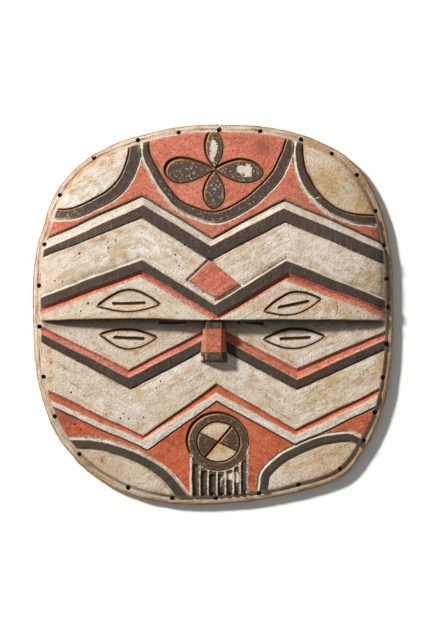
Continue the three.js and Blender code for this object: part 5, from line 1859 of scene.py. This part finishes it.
# %% Roughness of the paint
BUMP_MM = 0.8
WEIGHTS = {"brush": 1.0, "bristle": 0.35, "crumb": 1.2, "grit": 0.7, "fibre": 0.3, "patch": 1.0}
grain = 0.0
for name, weight in WEIGHTS.items():
    grain = add(tree, "ShaderNodeMath", {0: pattern[name], 1: weight, 2: grain}, operation="MULTIPLY_ADD")
bump = add(tree, "ShaderNodeBump", {"Height": grain, "Strength": 1.0, "Distance": BUMP_MM / MM})
matt = add(tree, "ShaderNodeMapRange", {0: pattern["patch"], 1: 0.3, 2: 0.7, 3: 0.72, 4: 0.92})
shader = add(tree, "ShaderNodeBsdfPrincipled",
             {"Base Color": face, "Roughness": matt, "Specular IOR Level": 0.25, "Normal": bump})
add(tree, "ShaderNodeOutputMaterial", {"Surface": shader})
print("painted face:", len(tree.nodes), "nodes")

# %% [markdown]
# ## On the frame
# The skin stands for the solid, so the solid is hidden and the skin rides on the same body. Faces
# that meet at a small angle are shaded smooth, and the steeper walls of the cuts stay crisp.

# %% The piece on its body
SMOOTH_BELOW = math.radians(28)
bpy.context.view_layer.objects.active = block
block.select_set(True)
bpy.ops.object.shade_smooth_by_angle(angle=SMOOTH_BELOW)
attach(block, "root")
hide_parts("mask")
print(block.name, "stands for the solid")

# %% [markdown]
# ## Floor, light and camera
# The mask lies on a pale floor under a plain studio light: one soft key from the upper left and an
# even fill from all round. The camera looks straight down from far away with a long lens, so
# the relief shows without leaning outwards.

# %% Floor
def floor_material():
    material, tree = new_material("pale_paper")
    place = add(tree, "ShaderNodeTexCoord", give="Object")
    tooth = add(tree, "ShaderNodeTexNoise", {"Vector": place, "Scale": 900.0, "Detail": 2.0})
    bump = add(tree, "ShaderNodeBump", {"Height": tooth, "Strength": 0.2, "Distance": 0.0002})
    shader = add(tree, "ShaderNodeBsdfPrincipled",
                 {"Base Color": srgb("#FAF9F7"), "Roughness": 0.9, "Normal": bump})
    add(tree, "ShaderNodeOutputMaterial", {"Surface": shader})
    return material


FLOOR_REACH = 6.0  # metres each way
corners = [(-1, -1), (1, -1), (1, 1), (-1, 1)]
floor_mesh = bpy.data.meshes.new("floor")
floor_mesh.from_pydata([(a * FLOOR_REACH, b * FLOOR_REACH, 0) for a, b in corners], [], [(0, 1, 2, 3)])
floor_mesh.materials.append(floor_material())
floor = bpy.data.objects.new("floor", floor_mesh)
bpy.context.scene.collection.objects.link(floor)
print("floor laid")

# %% Light
KEY_TURN, KEY_RISE, KEY_SPREAD, KEY_STRENGTH = 143.0, 41.0, 7.0, 4.0  # degrees, then watts a square metre
FILL = 0.25
world = bpy.data.worlds.new("studio")
world.use_nodes = True
world.node_tree.nodes["Background"].inputs["Color"].default_value = srgb("#FFFFFF")
world.node_tree.nodes["Background"].inputs["Strength"].default_value = FILL
bpy.context.scene.world = world
key_light = bpy.data.lights.new("key", "SUN")
key_light.energy, key_light.angle = KEY_STRENGTH, math.radians(KEY_SPREAD)
key = bpy.data.objects.new("key", key_light)
turn, rise = math.radians(KEY_TURN), math.radians(KEY_RISE)
key.location = Vector((math.cos(turn) * math.cos(rise), math.sin(turn) * math.cos(rise), math.sin(rise)))
key.rotation_euler = (-key.location).to_track_quat("-Z", "Y").to_euler()
bpy.context.scene.collection.objects.link(key)
bpy.context.scene.view_settings.view_transform = "Standard"
print("key light at", [round(v, 2) for v in key.location])

# %% Camera
PIXEL = 0.93  # millimetres of the mask for one pixel of the picture
PICTURE = (427, 640)
VIEW_CENTRE = (0.28, -4.84)  # in the carver's layout
CAMERA_HEIGHT = 5.0
FOCUS_HEIGHT = 0.018
SENSOR = 36.0
camera_data = bpy.data.cameras.new("camera")
camera_data.sensor_width = SENSOR
camera_data.lens = SENSOR * (CAMERA_HEIGHT - FOCUS_HEIGHT) / (PICTURE[1] * PIXEL / MM)
camera_data.clip_end = 50.0
camera = bpy.data.objects.new("camera", camera_data)
camera_x, camera_y = (VIEW_CENTRE[i] - FRAME_SHIFT[i] for i in (0, 1))
camera.location = (camera_x / MM, camera_y / MM, CAMERA_HEIGHT)
bpy.context.scene.collection.objects.link(camera)
bpy.context.scene.camera = camera
print("lens:", round(camera_data.lens, 1), "mm")
